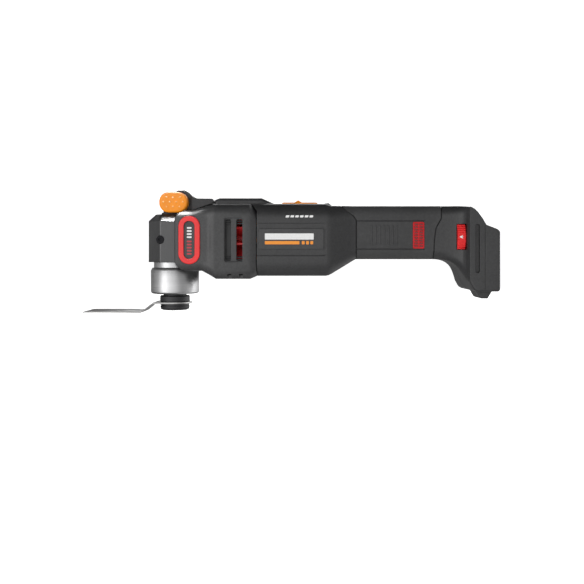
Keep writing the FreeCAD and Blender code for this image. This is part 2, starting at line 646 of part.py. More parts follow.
# ---------------------------------------------------------------- motor and eccentric
node(cylinder("shaft", "shaft_r", "shaft_end - shaft_start", ("shaft_start", "0", "motor_z"), "X"),
     "motor_shaft")
ecc_centre = ("13.5", "0", "motor_z + throw")
sleeve = cylinder("sleeve_blank", "ecc_r", "8", ecc_centre, "X")
sleeve_bore = cylinder("sleeve_bore", "shaft_r", "8", ("13.5", "0", "motor_z"), "X")
node(cut("sleeve", sleeve, [sleeve_bore]), "eccentric_sleeve")
node(ring("ecc_race", "ecc_bearing_r", "ecc_r", "7", ("14", "0", "motor_z + throw"), "X"),
     "eccentric_bearing")
weight_blank = common(
    "weight_half",
    cylinder("weight_disc", "8", "3", ("22.2", "0", "motor_z"), "X"),
    block("weight_side", ("22.2", "-8", "motor_z - 8"), ("25.2", "8", "motor_z + 4.6")),
)
weight_bore = cylinder("weight_bore", "shaft_r", "3", ("22.2", "0", "motor_z"), "X")
node(cut("weight", weight_blank, [weight_bore]), "counterweight")

node(ring("front_race", "11", "shaft_r + running_fit", "7", ("28", "0", "motor_z"), "X"),
     "front_motor_bearing")
bracket_profile = [
    ("head_rear", "5"), ("head_rear", "19.5"), ("head_rear + 4", "19.5"), ("head_rear + 10", "14"),
    ("head_rear + 10", "5"), ("head_rear + 9", "5"), ("head_rear + 9", "11"), ("head_rear + 2", "11"),
    ("head_rear + 2", "5"),
]


def on_motor_axis(label, points):
    """A solid turned about the motor axis, from points given as station and radius."""
    body = turned(label, points, "XY_Plane", "H_Axis")
    bind(body, "Placement.Base.z", "motor_z")
    return body


node(on_motor_axis("front_bracket", bracket_profile), "front_motor_bracket")
rear_bracket_profile = [
    ("107.6", "5"), ("107.6", "14"), ("109.6", "core_r"), ("113.6", "core_r"), ("117.6", "13"), ("117.6", "5"),
    ("116.6", "5"), ("116.6", "9.5"), ("109.6", "9.5"), ("109.6", "5"),
]
node(on_motor_axis("rear_bracket", rear_bracket_profile), "rear_motor_bracket")
node(ring("rear_race", "9.5", "shaft_r + running_fit", "7", ("109.6", "0", "motor_z"), "X"),
     "rear_motor_bearing")

FAN_BLADES = 11
fan_disc_x = "fan_x + fan_long - 1.6"
fan_parts = [
    cylinder("fan_hub", "8", "fan_long", ("fan_x", "0", "motor_z"), "X"),
    cylinder("fan_disc", "fan_r", "1.6", (fan_disc_x, "0", "motor_z"), "X"),
]
for step in range(FAN_BLADES):
    vane = doc.addObject("Part::Box", f"fan_vane{step}")
    bind(vane, "Length", "fan_long")
    bind(vane, "Width", "1.4")
    bind(vane, "Height", "fan_r - 7")
    spin = 360 * step / FAN_BLADES
    vane.Placement.Rotation = FreeCAD.Rotation(X_AXIS, spin)
    lift = math.radians(spin)
    place(vane, ("fan_x", f"{-7 * math.sin(lift) - 0.7 * math.cos(lift):.6f}",
                 f"motor_z + {7 * math.cos(lift) - 0.7 * math.sin(lift):.6f}"))
    fan_parts.append(vane)
fan_bore = cylinder("fan_bore", "shaft_r", "fan_long", ("fan_x", "0", "motor_z"), "X")
node(cut("fan_wheel", joined("fan_blank", fan_parts), [fan_bore]), "cooling_fan")

node(ring("rotor_core", "rotor_r", "shaft_r", "core_long", ("core_x", "0", "motor_z"), "X"), "motor_rotor")
SLOTS = 6
stator_tools = [cylinder("stator_bore", "core_bore_r", "core_long", ("core_x", "0", "motor_z"), "X")]
coils = []
for step in range(SLOTS):
    lift = math.radians(360 * step / SLOTS)
    centre = (f"17 * {math.cos(lift):.6f}", f"motor_z + 17 * {math.sin(lift):.6f}")
    stator_tools.append(cylinder(f"stator_slot{step}", "2.6", "core_long", ("core_x",) + centre, "X"))
    coils.append(cylinder(f"coil{step}", "2.6", "core_long + 7.2", ("core_x - 3.6",) + centre, "X"))
stator_blank = cylinder("stator_blank", "core_r", "core_long", ("core_x", "0", "motor_z"), "X")
node(cut("stator_core", stator_blank, stator_tools), "motor_stator")
node(group("coil_set", coils), "stator_windings")

# ---------------------------------------------------------------- front cover
cover_side = [
    ("cover_x", "cover_low"), ("20", "cover_low"), ("20", "10"), ("80", "10"), ("80", "95"),
    ("17", "95"), ("17", "cover_brow"), ("cover_x", "cover_brow"),
]
cover_outline = padded("cover_outline", "XZ_Plane", cover_side, "2 * vent_half + 2")
dressed(cover_outline, "Fillet", "11",
        lambda edge: along(edge, Y_AXIS) and middle(edge).x < size("cover_x") + 0.1)
COVER = [
    ("cover_x", "cover_half - 1.4", "cover_low", "cover_brow", "7"),
    ("cover_x + 1.4", "cover_half", "cover_low", "cover_brow", "7"),
    ("19", "cover_half", "cover_low", "cover_brow", "7"),
    ("26.6", "cover_half", "cover_low", "cover_top - 2.8", "8"),
    ("vent_step_x", "cover_half + 0.2", "24.3", "cover_top - 1.2", "8.5"),
    ("36.5", "vent_half", "22.1", "cover_top", "9"),
    ("38.6", "vent_half", "cover_belly", "cover_top", "9"),
    ("67.6", "vent_half", "cover_belly", "cover_top", "9"),
    ("70.6", "vent_half - 1", "main_low - 1.2", "81.2", "9"),
    ("seam_x", "vent_half - 2", "main_low", "78.5", "9"),
]


def shrunk(stations, inset):
    """The same stations with every section drawn in by the inset."""
    return [(x, f"{half} - {inset}", f"{low} + {inset}", f"{high} - {inset}", f"{bend} - {inset}")
            for x, half, low, high, bend in stations]


cover_form = common("cover_form", lofted("cover_loft", COVER), cover_outline)
cover_room_start = [("cover_x + wall", "cover_half", "cover_low", "cover_brow", "7")]
cover_room = lofted("cover_room", shrunk(cover_room_start + COVER[2:], "wall"))
cover_tools = [
    cover_room,
    block("cover_head_gap", ("0", "0 - head_half - 0.2", "head_low - 0.6"), ("9", "head_half + 0.2", "82")),
    block("cover_hub_gap", ("0", "0 - wing_half - 0.4", "70"), ("18", "wing_half + 0.4", "90")),
    cylinder("cover_collar_gap", "collar_r + 0.5", "40", ("0", "0", "-2")),
]
VENT_SLOTS = [("47.2", "52.1"), ("56.6", "61.6")]
BADGE = ("7.7", "25.8"), ("33.4", "74.1")
BADGE_SLOT = ("12.1", "21.4"), ("37.8", "69.7")
for name, through in sides("vent_half - 1.5", "vent_half + 1"):
    cover_tools.append(tablet(f"vent_recess_{name}", ("46.4", "62.6"), ("35.3", "72.1"), through, "2"))
for name, through in sides("vent_half - wall - 2", "vent_half + 1"):
    for index, span in enumerate(VENT_SLOTS):
        cover_tools.append(tablet(f"vent_slot_{name}{index}", span, ("36.4", "71"), through, "1.2"))
for name, through in sides("25.4", "vent_half + 1"):
    for index, x in enumerate(("50.6", "60.4")):
        cover_tools.append(block(f"drain_{name}{index}", (f"{x} - 1.7", through[0], "18"),
                                 (f"{x} + 1.7", through[1], "24.9")))
for name, through in sides("cover_half - 1", "cover_half + 1"):
    cover_tools.append(tablet(f"badge_seat_{name}", *BADGE, through, "9"))
cover_shell = cut("cover_shell", cover_form, cover_tools)

ring_blank = tablet("ring_blank", *BADGE, ("0 - cover_half - 0.9", "1 - cover_half"), "9")
dressed(ring_blank, "Fillet", "0.7", lambda edge: middle(edge).y < 0 - size("cover_half + 0.8"))
ring_slot = tablet("ring_slot", *BADGE_SLOT, ("0 - cover_half - 2", "2 - cover_half"), "4.5")
badge_ring = cut("badge_ring", ring_blank, [ring_slot])
insert_blank = tablet("insert_blank", *BADGE_SLOT, ("0.2 - cover_half", "1 - cover_half"), "4.5")

# ---------------------------------------------------------------- main housing, grip and rear housing
MAIN = [
    ("68.3", "main_half", "main_low", "main_top", "main_round"),
    ("taper_x", "main_half", "main_low", "main_top", "main_round"),
    ("taper_x + 2.5", "main_half - 0.3", "main_low + 0.5", "main_top - 0.8", "main_round - 0.4"),
    ("taper_x + 5", "main_half - 1", "main_low + 1.7", "main_top - 1.5", "main_round - 0.8"),
    ("grip_x - 3", "grip_half + 0.6", "grip_low - 1.7", "grip_top", "grip_round + 0.4"),
    ("grip_x", "grip_half", "grip_low", "grip_top", "grip_round"),
]
GRIP = [
    ("grip_x", "grip_half", "grip_low", "grip_top", "grip_round"),
    ("rear_x", "grip_half", "grip_low", "grip_top", "grip_round"),
]
REAR = [
    ("rear_x", "grip_half", "grip_low", "grip_top", "grip_round"),
    ("229", "grip_half + 0.1", "37.1", "grip_top", "9"), ("234", "grip_half + 0.3", "36.6", "grip_top", "9"),
    ("238", "grip_half + 0.6", "35.5", "grip_top", "8.8"), ("241", "grip_half + 1", "34", "grip_top", "8.6"),
    ("243.9", "grip_half + 1.6", "31.8", "grip_top", "8.4"),
    ("246", "grip_half + 2.3", "29.2", "grip_top - 0.1", "8"),
    ("248", "grip_half + 3.5", "25.8", "grip_top - 0.3", "7.4"),
    ("250", "grip_half + 5.7", "22", "grip_top - 0.6", "6.4"),
    ("251.4", "foot_half - 1.8", "19.6", "grip_top - 1", "5.2"),
    ("foot_x", "foot_half", "18", "foot_top", "4"),
]
main_form, grip_form, rear_form = (
    lofted("main_form", MAIN), lofted("grip_form", GRIP), lofted("rear_form", REAR))
rooms = [lofted(f"{name}_room", shrunk(stations, "wall"))
         for name, stations in (("main", MAIN), ("grip", GRIP), ("rear", REAR))]
cores = [lofted(f"{name}_core", shrunk(stations, "groove"))
         for name, stations in (("main", MAIN), ("grip", GRIP), ("rear", REAR))]
main_room = rooms[0]
foot_side = [
    ("foot_x", "18"), ("254.8", "13.6"), ("256.2", "11.7"), ("258.4", "foot_low"),
    ("foot_rear", "foot_low"), ("foot_rear", "60.6"), ("276.5", "62.4"), ("266.1", "66.4"), ("265.4", "67.6"),
    ("263.2", "71.4"), ("260.6", "75"), ("258.8", "77.4"), ("256.4", "79.8"), ("254", "81.2"),
    ("foot_x", "foot_top"),
]
foot_block = padded("foot_block", "XZ_Plane", foot_side, "2 * foot_half")
dressed(foot_block, "Fillet", "2.5", lambda edge: along(edge, Y_AXIS)
        and middle(edge).z < size("foot_low") + 0.1 and middle(edge).x > size("foot_rear") - 0.1)
dressed(foot_block, "Fillet", "2", lambda edge: abs(middle(edge).y) > size("foot_half") - 0.1
        and middle(edge).x > size("foot_x") + 0.1 and (middle(edge).z < 30 or middle(edge).x > 276))
spine_side = [
    ("spine_x", "cover_top"), ("seam_x", "cover_top"), ("seam_x", "80.6"), ("88.6", "80.6"),
    ("88.6", "main_top"), ("77", "spine_top"), ("spine_x + 4", "spine_top"), ("spine_x", "spine_top - 1.6"),
]
spine = padded("spine", "XZ_Plane", spine_side, "2 * spine_half")
dressed(spine, "Fillet", "3", lambda edge: abs(middle(edge).y) > size("spine_half") - 0.1
        and middle(edge).z > size("main_top") + 0.2 and middle(edge).x < 88)
bump_side = [("125.8", "80.6"), ("138.6", "80.6"), ("138.6", "82.6"), ("134.8", "85.8"), ("125.8", "85")]
bump = padded("bump", "XZ_Plane", bump_side, "2 * ( spine_half - 1 )")
dressed(bump, "Fillet", "1", lambda edge: abs(middle(edge).y) > size("spine_half") - 1.1
        and middle(edge).z > size("main_top") - 0.4)

body_form = joined("body_form", [main_form, grip_form, rear_form, foot_block, spine, bump])
foot_room = block("foot_room", ("foot_x - 1", "-24", "23"), ("258.6", "24", "74"))
body_room = joined("body_room", rooms + [foot_room])

# Columns for the housing screws, which run across the tool from the right half into the left.
SCREWS = [("43", "30", "29.4"), ("43", "75", "29.4"), ("126", "72", "28.4"), ("126", "36", "28.4"),
          ("166", "60.2", "20.4"), ("216", "60.2", "20.4"), ("236", "74", "21"), ("256", "24", "25.4")]
columns, seats, bores, screws = [], [], [], []
for index, (x, z, inside) in enumerate(SCREWS):
    columns.append(cylinder(f"column{index}", "4.4", f"2 * ( {inside} )", (x, f"0 - ( {inside} )", z), "Y"))
    seats.append(cylinder(f"seat{index}", "3.3", "20", (x, f"{inside} - 4", z), "Y"))
    bores.append(cylinder(f"bore{index}", "1.6", f"{inside} + 12", (x, "-16", z), "Y"))
    head = cylinder(f"screw_head{index}", "3", "2.4", (x, f"{inside} - 4", z), "Y")
    shank = cylinder(f"screw_shank{index}", "1.6", f"{inside} + 12", (x, "-16", z), "Y")
    drive = cylinder(f"screw_drive{index}", "1.3", "1.5", (x, f"{inside} - 3.1", z), "Y")
    screws.append(cut(f"screw{index}", joined(f"screw_blank{index}", [head, shank]), [drive]))
node(group("screw_set", screws), "housing_screws")

cover_columns = joined("cover_columns", columns[:2])
cover_whole = cut("cover_whole", joined("cover_ribbed", [cover_shell, cover_columns]), seats[:2] + bores[:2])
ribs = cut("motor_ribs", common("rib_blank", main_room, joined("rib_slabs", [
    block("rib_front", ("76", "-40", "0"), ("79", "40", "100")),
    block("rib_rear", ("94", "-40", "0"), ("97", "40", "77.2")),
    block("rib_back", ("109.8", "-40", "0"), ("113.4", "40", "77.2")),
])), [cylinder("rib_bore", "core_r", "60", ("70", "0", "motor_z"), "X")])

channel_tools = [
    block("channel", ("channel_x", "0 - channel_half", "channel_low"),
          ("channel_lip_x", "channel_half", "100")),
    block("channel_mouth_cut", ("channel_x", "0 - channel_mouth", "channel_low"),
          ("300", "channel_mouth", "100")),
]
cover_space = padded("cover_space", "XZ_Plane", [
    ("60", "10"), ("seam_x + seam_gap", "10"), ("seam_x + seam_gap", "78.6"), ("68.5", "cover_top"),
    ("60", "cover_top"),
], "90")
body_tools = [
    body_room, cover_space,
    block("slider_recess", ("slider_x - slider_travel - 0.4", "0 - slider_half - 0.3", "slider_floor"),
          ("slider_x + slider_long + 0.4", "slider_half + 0.3", "95")),
    block("slider_slot", ("98", "-3.3", "78"), ("114.6", "3.3", "90")),
    tablet("dial_cutout", ("dial_x - dial_window / 2", "dial_x + dial_window / 2"),
           ("dial_z - dial_window_tall / 2", "dial_z + dial_window_tall / 2"), ("-40", "dial_y - 8"), "0.8"),
    cylinder("dial_room", "dial_r + 0.4", "dial_window",
             ("dial_x - dial_window / 2", "dial_y", "dial_z"), "X"),
] + channel_tools
for name, through in sides("main_half - 1", "main_half + 1"):
    body_tools.append(tablet(f"panel_seat_{name}", ("60", "132"), ("40.4", "67.8"), through, "2.5"))
for name, through in sides("grip_half - 1", "grip_half + 1"):
    body_tools.append(tablet(f"grip_seat_{name}", ("206", "215.7"), ("46.4", "69.2"), through, "1.2"))
for name, through in sides("foot_half - 3", "foot_half + 1"):
    body_tools.append(tablet(f"foot_groove_{name}", ("256.9", "260.6"), ("26.2", "67"), through, "1.8"))
for name, through in sides("foot_half - 0.4", "foot_half + 1"):
    body_tools.append(block(f"foot_line_{name}", ("265", through[0], "0"), ("265.4", through[1], "70")))


def strip(label, seam):
    """A thin wall along a seam of the side view, through the whole width."""
    left = [(f"{x} - groove_half", z) for x, z in seam]
    right = [(f"{x} + groove_half", z) for x, z in seam[::-1]]
    return padded(label, "XZ_Plane", left + right, "90")


grip_seam = [("143", "90"), ("146", "81.5"), ("150.4", "77.6"), ("155.4", "74.4"), ("158", "70.6"),
             ("158", "30")]
rear_seam = [("223.5", "30"), ("224.4", "54"), ("225.8", "64"), ("230.2", "72"), ("231", "90")]
grip_lines = [
    block(f"grip_line_{z}", ("158", "-40", f"{z} - groove_half"), ("216", "40", f"{z} + groove_half"))
    for z in (46, 70)
]
half_line = block("half_line", ("60", "-0.15", "0"), ("foot_x - 1", "0.15", "100"))
body_tools.append(cut("seam_grooves", joined("seam_strips", [
    strip("grip_strip", grip_seam), strip("rear_strip", rear_seam), half_line] + grip_lines), cores))
body_shell = cut("body_shell", body_form, body_tools)
body_ribbed = joined("body_ribbed", [body_shell, ribs] + columns[2:])
body_whole = cut("body_whole", body_ribbed, seats[2:] + bores[2:])

main_side = [("20", "10"), ("158", "10")] + grip_seam[::-1] + [("20", "100")]
main_zone = padded("main_zone", "XZ_Plane", main_side, "90")
grip_zone = padded("grip_zone", "XZ_Plane", grip_seam + rear_seam, "90")
rear_side = rear_seam + [("231", "100"), ("300", "100"), ("300", "0"), ("223.5", "0")]
rear_zone = padded("rear_zone", "XZ_Plane", rear_side, "90")
wholes = [
    ("front_cover", cover_whole),
    ("main_housing", common("main_whole", body_whole, main_zone)),
    ("grip_shell", common("grip_whole", body_whole, grip_zone)),
    ("rear_housing", common("rear_whole", body_whole, rear_zone)),
]
for name, whole in wholes:
    for side, low, high in (("left", "-60", "0"), ("right", "0", "60")):
        half_space = block(f"{name}_{side}_space", ("-40", low, "-10"), ("320", high, "120"))
        node(common(f"{name}_{side}_half", whole, half_space), f"{name}_{side}")

for piece, name in ((badge_ring, "ring_badge"), (insert_blank, "badge_insert")):
    node(piece, f"{name}_left")
    node(mirrored(f"{name}_twin", piece), f"{name}_right")
for side, through in sides("main_half - 1", "main_half"):
    node(tablet(f"panel_{side}", ("75", "130"), ("45.9", "63.3"), through, "1.5"), f"side_panel_{side}")
for side, through in sides("grip_half - 1", "grip_half + 0.3"):
    node(tablet(f"grip_mark_{side}", ("206", "215.7"), ("46.4", "69.2"), through, "1.2"),
         f"grip_badge_{side}")

# ---------------------------------------------------------------- slide switch
slider_side = [
    ("slider_x", "slider_low"), ("slider_x + slider_long", "slider_low"),
    ("slider_x + slider_long", "slider_top - 0.8"), ("slider_x + slider_long - 1", "slider_top"),
    ("111.6", "slider_top"), ("108.4", "slider_top + 2"), ("105.2", "slider_top"),
    ("slider_x + 1", "slider_top"), ("slider_x", "slider_top - 0.8"),
]
slider_plate = padded("slider_plate", "XZ_Plane", slider_side, "2 * slider_half")
slider_stem = block("slider_stem", ("104.6", "-2.9", "79.4"), ("114", "2.9", "slider_low + 0.2"))
node(joined("slider", [slider_plate, slider_stem]), "slide_switch")
node(block("link", ("108", "-2", "78.2"), ("131", "2", "79.4")), "switch_link")
node(block("trigger_box", ("132", "-6", "66"), ("150", "6", "79.6")), "microswitch")

# ---------------------------------------------------------------- speed dial and electronics
RIBS = 54
dial_disc = cylinder("dial_disc", "dial_r", "dial_wide", ("dial_x - dial_wide / 2", "dial_y", "dial_z"), "X")
dial_stub = cylinder("dial_stub", "3", "dial_wide + 2.4",
                     ("dial_x - dial_wide / 2 - 1.2", "dial_y", "dial_z"), "X")
dial_cuts = []
for step in range(RIBS):
    lift = 2 * math.pi * step / RIBS
    dial_cuts.append(cylinder(
        f"dial_cut{step}", "0.55", "dial_wide",
        ("dial_x - dial_wide / 2", f"dial_y + ( dial_r + 0.15 ) * {math.cos(lift):.6f}",
         f"dial_z + ( dial_r + 0.15 ) * {math.sin(lift):.6f}"), "X"))
node(joined("dial", [cut("dial_ribbed", dial_disc, dial_cuts), dial_stub]), "speed_dial")
node(block("dial_pot", ("dial_x + dial_wide / 2 + 1.5", "dial_y - 7", "dial_z - 7"),
           ("dial_x + dial_wide / 2 + 7", "dial_y + 7", "dial_z + 7")), "dial_potentiometer")
board = block("board", ("172", "-15", "52"), ("208", "15", "53.6"))
heat_sink = block("heat_sink", ("176", "-12", "53.6"), ("196", "12", "56"))
fins = [block(f"fin{n}", (f"{176 + 3 * n}", "-12", "56"), (f"{177.4 + 3 * n}", "12", "62")) for n in range(7)]
node(joined("board_set", [board, heat_sink] + fins), "control_board")
terminal_low = ("channel_x", "-16", "32")
node(block("contact_block", terminal_low, ("channel_x + 4", "16", "56")), "terminal_block")
contacts = [
    block(f"contact{n}", ("channel_x + 4", f"{-12.4 + 6 * n}", "36"),
          ("channel_x + 10.6", f"{-11.6 + 6 * n}", "52"))
    for n in range(5)
]
node(group("contact_set", contacts), "terminal_blades")
stop_side = [("261.6", "foot_low"), ("265.3", "4"), ("267", "3.2"), ("272.3", "3.2"), ("276.4", "foot_low")]
node(padded("stop", "XZ_Plane", stop_side, "24"), "foot_stop")

# ---------------------------------------------------------------- checks and export
doc.recompute()
for item in doc.Objects:
    if "Invalid" in item.State or "Error" in item.State:
        raise RuntimeError(f"{item.Label} did not compute")
for item in nodes:
    if item.Shape.isNull() or not item.Shape.isValid() or not item.Shape.Solids:
        raise RuntimeError(f"{item.Label} has no valid shape")
os.makedirs("parts", exist_ok=True)
for item in nodes:
    item.Shape.exportStep(f"parts/{item.Label}.step")
    print(f"{item.Label}: {len(item.Shape.Solids)} solid(s), {item.Shape.Volume:.1f} mm3")
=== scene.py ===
import json
import math

import bmesh
import bpy
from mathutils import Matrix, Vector


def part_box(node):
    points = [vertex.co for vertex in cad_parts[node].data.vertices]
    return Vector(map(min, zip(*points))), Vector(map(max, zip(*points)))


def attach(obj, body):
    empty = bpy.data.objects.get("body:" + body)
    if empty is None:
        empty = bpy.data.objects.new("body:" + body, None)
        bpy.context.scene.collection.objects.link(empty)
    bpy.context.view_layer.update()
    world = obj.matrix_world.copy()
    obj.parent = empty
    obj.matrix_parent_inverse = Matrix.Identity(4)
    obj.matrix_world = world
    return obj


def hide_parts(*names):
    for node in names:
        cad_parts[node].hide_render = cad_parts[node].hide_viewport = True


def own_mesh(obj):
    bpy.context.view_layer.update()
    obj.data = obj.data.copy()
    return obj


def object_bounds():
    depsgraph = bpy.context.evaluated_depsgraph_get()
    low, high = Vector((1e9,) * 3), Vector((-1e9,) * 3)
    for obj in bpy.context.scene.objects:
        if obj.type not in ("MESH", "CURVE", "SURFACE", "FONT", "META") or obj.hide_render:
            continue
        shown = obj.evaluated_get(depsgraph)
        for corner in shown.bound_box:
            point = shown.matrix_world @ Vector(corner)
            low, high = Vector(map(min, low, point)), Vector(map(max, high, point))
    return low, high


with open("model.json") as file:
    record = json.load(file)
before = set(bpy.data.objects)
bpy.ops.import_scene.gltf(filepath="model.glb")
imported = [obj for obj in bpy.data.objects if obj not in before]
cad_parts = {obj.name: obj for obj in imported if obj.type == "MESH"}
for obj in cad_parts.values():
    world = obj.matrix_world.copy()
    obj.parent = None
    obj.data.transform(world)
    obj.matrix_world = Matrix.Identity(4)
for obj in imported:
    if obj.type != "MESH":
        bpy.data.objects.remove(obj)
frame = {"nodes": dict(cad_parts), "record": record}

cad_low, cad_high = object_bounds()
nodes = frame["nodes"]
MM = 0.001
BODY_HALF = 30.0 * MM  # half the width of the main housing
GRIP_HALF = 22.0 * MM  # half the width of the grip
FLOOR_DROP = 56 * MM  # room under the tool for the bolt and blade, which slide 48 mm down

# ---------------------------------------------------------------- materials


class Shader:
    """A node material with helpers. Coordinates are the object's own, in metres."""

    def __init__(self, name, rough, metallic=0.0, **sockets):
        self.mat = bpy.data.materials.new(name)
        self.mat.use_nodes = True
        self.tree = self.mat.node_tree
        self.tree.nodes.clear()
        self.out = self.add("ShaderNodeOutputMaterial")
        self.bsdf = self.add("ShaderNodeBsdfPrincipled")
        self.link(self.bsdf.outputs["BSDF"], self.out.inputs["Surface"])
        self.bsdf.inputs["Roughness"].default_value = rough
        self.bsdf.inputs["Metallic"].default_value = metallic
        for key, value in sockets.items():
            self.bsdf.inputs[key.replace("_", " ")].default_value = value
        self.coords = self.add("ShaderNodeTexCoord").outputs["Object"]

    def add(self, kind):
        return self.tree.nodes.new(kind)

    def link(self, source, target):
        self.tree.links.new(source, target)

    def stretched(self, scale):
        """Object coordinates scaled by (x, y, z)."""
        mapping = self.add("ShaderNodeMapping")
        mapping.inputs["Scale"].default_value = scale
        self.link(self.coords, mapping.inputs["Vector"])
        return mapping.outputs["Vector"]

    def noise(self, scale, detail=3.0, roughness=0.55, stretch=None):
        texture = self.add("ShaderNodeTexNoise")
        texture.inputs["Scale"].default_value = scale
        texture.inputs["Detail"].default_value = detail
        texture.inputs["Roughness"].default_value = roughness
        self.link(self.stretched(stretch) if stretch else self.coords, texture.inputs["Vector"])
        return texture.outputs["Fac"]

    def cells(self, scale, feature="F1"):
        texture = self.add("ShaderNodeTexVoronoi")
        texture.feature = feature
        texture.inputs["Scale"].default_value = scale
        self.link(self.coords, texture.inputs["Vector"])
        return texture.outputs["Distance"]

    def ramp(self, source, stops):
        """Colour stops: (position, (r, g, b))."""
        ramp = self.add("ShaderNodeValToRGB")
        elements = ramp.color_ramp.elements
        while len(elements) < len(stops):
            elements.new(0.5)
        for element, (position, colour) in zip(elements, stops):
            element.position = position
            element.color = (*colour, 1.0)
        self.link(source, ramp.inputs["Fac"])
        return ramp.outputs["Color"]

    def span(self, source, low, high, start=0.25, finish=0.75):
        """source from start..finish spread over low..high."""
        spread = self.add("ShaderNodeMapRange")
        for key, value in (("From Min", start), ("From Max", finish), ("To Min", low), ("To Max", high)):
            spread.inputs[key].default_value = value
        self.link(source, spread.inputs["Value"])
        return spread.outputs["Result"]

    def mix(self, factor, first, second, blend="MIX"):
        mixer = self.add("ShaderNodeMix")
        mixer.data_type = "RGBA"
        mixer.blend_type = blend
        for socket, value in ((mixer.inputs[0], factor), (mixer.inputs[6], first), (mixer.inputs[7], second)):
            if isinstance(value, (int, float)):
                socket.default_value = value
            elif isinstance(value, tuple):
                socket.default_value = (*value, 1.0)
            else:
                self.link(value, socket)
        return mixer.outputs[2]

    def math(self, operation, first, second=0.0):
        node = self.add("ShaderNodeMath")
        node.operation = operation
        for socket, value in ((node.inputs[0], first), (node.inputs[1], second)):
            if isinstance(value, (int, float)):
                socket.default_value = value
            else:
                self.link(value, socket)
        return node.outputs[0]

    def colour(self, source):
        self.link(source, self.bsdf.inputs["Base Color"])

    def rough(self, source):
        self.link(source, self.bsdf.inputs["Roughness"])

    def rounded(self, width_mm):
        """Normals that turn softly over every edge, as if it had that radius."""
        bevel = self.add("ShaderNodeBevel")
        bevel.samples = 8
        bevel.inputs["Radius"].default_value = width_mm * MM
        self.link(bevel.outputs["Normal"], self.bsdf.inputs["Normal"])

    def worn_edges(self, colour, width_mm=0.35, strength=0.35):
        """Lighter, handled edges where the surface turns sharply."""
        bevel = self.add("ShaderNodeBevel")
        bevel.samples = 6
        bevel.inputs["Radius"].default_value = width_mm * MM
        shape = self.add("ShaderNodeNewGeometry")
        product = self.add("ShaderNodeVectorMath")
        product.operation = "DOT_PRODUCT"
        self.link(bevel.outputs["Normal"], product.inputs[0])
        self.link(shape.outputs["Normal"], product.inputs[1])
        turn = self.span(product.outputs["Value"], strength, 0.0, 0.75, 0.98)
        patchy = self.math("MULTIPLY", turn, self.span(self.noise(210.0, 4.0), 0.2, 1.0, 0.35, 0.65))
        base = self.bsdf.inputs["Base Color"].links[0].from_socket
        self.colour(self.mix(patchy, base, colour))

    def bump(self, source, height_mm, strength=1.0):
        """Stack a bump of that height on whatever drives the normal already."""
        node = self.add("ShaderNodeBump")
        node.inputs["Strength"].default_value = strength
        node.inputs["Distance"].default_value = height_mm * MM
        self.link(source, node.inputs["Height"])
        normal = self.bsdf.inputs["Normal"]
        if normal.is_linked:
            self.link(normal.links[0].from_socket, node.inputs["Normal"])
        self.link(node.outputs["Normal"], normal)


def scaled(colour, factor):
    """The colour with every channel multiplied."""
    return tuple(channel * factor for channel in colour)


def moulded(name, colour, rough=0.5, grain=1500.0, height=0.03, spread=0.1, specular=0.4):
    """Moulded plastic: fine spark-eroded grain, faint tone drift, handled patches that shine a little."""
    s = Shader(name, rough, Specular_IOR_Level=specular)
    s.rounded(0.9)
    drift = s.noise(28.0, 4.0)
    fine = s.noise(grain * 0.4, 4.0, 0.7)
    tone = s.ramp(drift, [(0.3, scaled(colour, 1.0 - spread)), (0.7, scaled(colour, 1.0 + spread))])
    speck = s.ramp(fine, [(0.35, (0.82, 0.82, 0.82)), (0.65, (1.14, 1.14, 1.14))])
    s.colour(s.mix(1.0, tone, speck, "MULTIPLY"))
    s.worn_edges(scaled(colour, 2.2))
    s.rough(s.span(s.noise(45.0, 5.0, 0.65), rough - 0.08, rough + 0.08))
    s.bump(s.noise(grain, 3.0, 0.6), height)
    s.bump(s.cells(grain * 0.8), height * 0.6, 0.6)
    return s.mat


def rubbery(name, colour, rough=0.62, specular=0.25):
    """Soft overmould: matt, with a pebbled grain and a dusty sheen."""
    s = Shader(name, rough, Specular_IOR_Level=specular, Sheen_Weight=0.04, Sheen_Roughness=0.5)
    s.rounded(0.8)
    drift = s.noise(36.0, 4.0)
    tone = s.ramp(drift, [(0.3, scaled(colour, 0.88)), (0.7, scaled(colour, 1.12))])
    dust = s.ramp(s.noise(420.0, 4.0, 0.7), [(0.45, (1.0, 1.0, 1.0)), (0.75, (1.22, 1.22, 1.21))])
    s.colour(s.mix(1.0, tone, dust, "MULTIPLY"))
    s.rough(s.span(s.noise(60.0, 4.0), rough - 0.08, rough + 0.08))
    s.bump(s.cells(1500.0), 0.03)
    s.bump(s.noise(2600.0, 2.0), 0.02)
    return s.mat


def turned_metal(name, colour, rough=0.3, pitch=2600.0, axis="z", metallic=1.0):
    """Lathe-turned metal: fine rings stacked along the axis, with soft bands of gloss."""
    s = Shader(name, rough, metallic, Anisotropic=0.55)
    stretch = {"z": (6.0, 6.0, pitch), "x": (pitch, 6.0, 6.0)}[axis]
    rings = s.noise(1.0, 4.0, 0.7, stretch)
    band = s.noise(1.0, 2.0, 0.5, tuple(0.06 * value if value > 10 else 14.0 for value in stretch))
    tone = s.ramp(band, [(0.3, scaled(colour, 0.9)), (0.7, scaled(colour, 1.06))])
    line = s.ramp(rings, [(0.3, (0.88, 0.88, 0.88)), (0.7, (1.06, 1.06, 1.06))])
    s.colour(s.mix(1.0, tone, line, "MULTIPLY"))
    s.rough(s.span(rings, rough - 0.07, rough + 0.1))
    s.bump(rings, 0.012)
    return s.mat


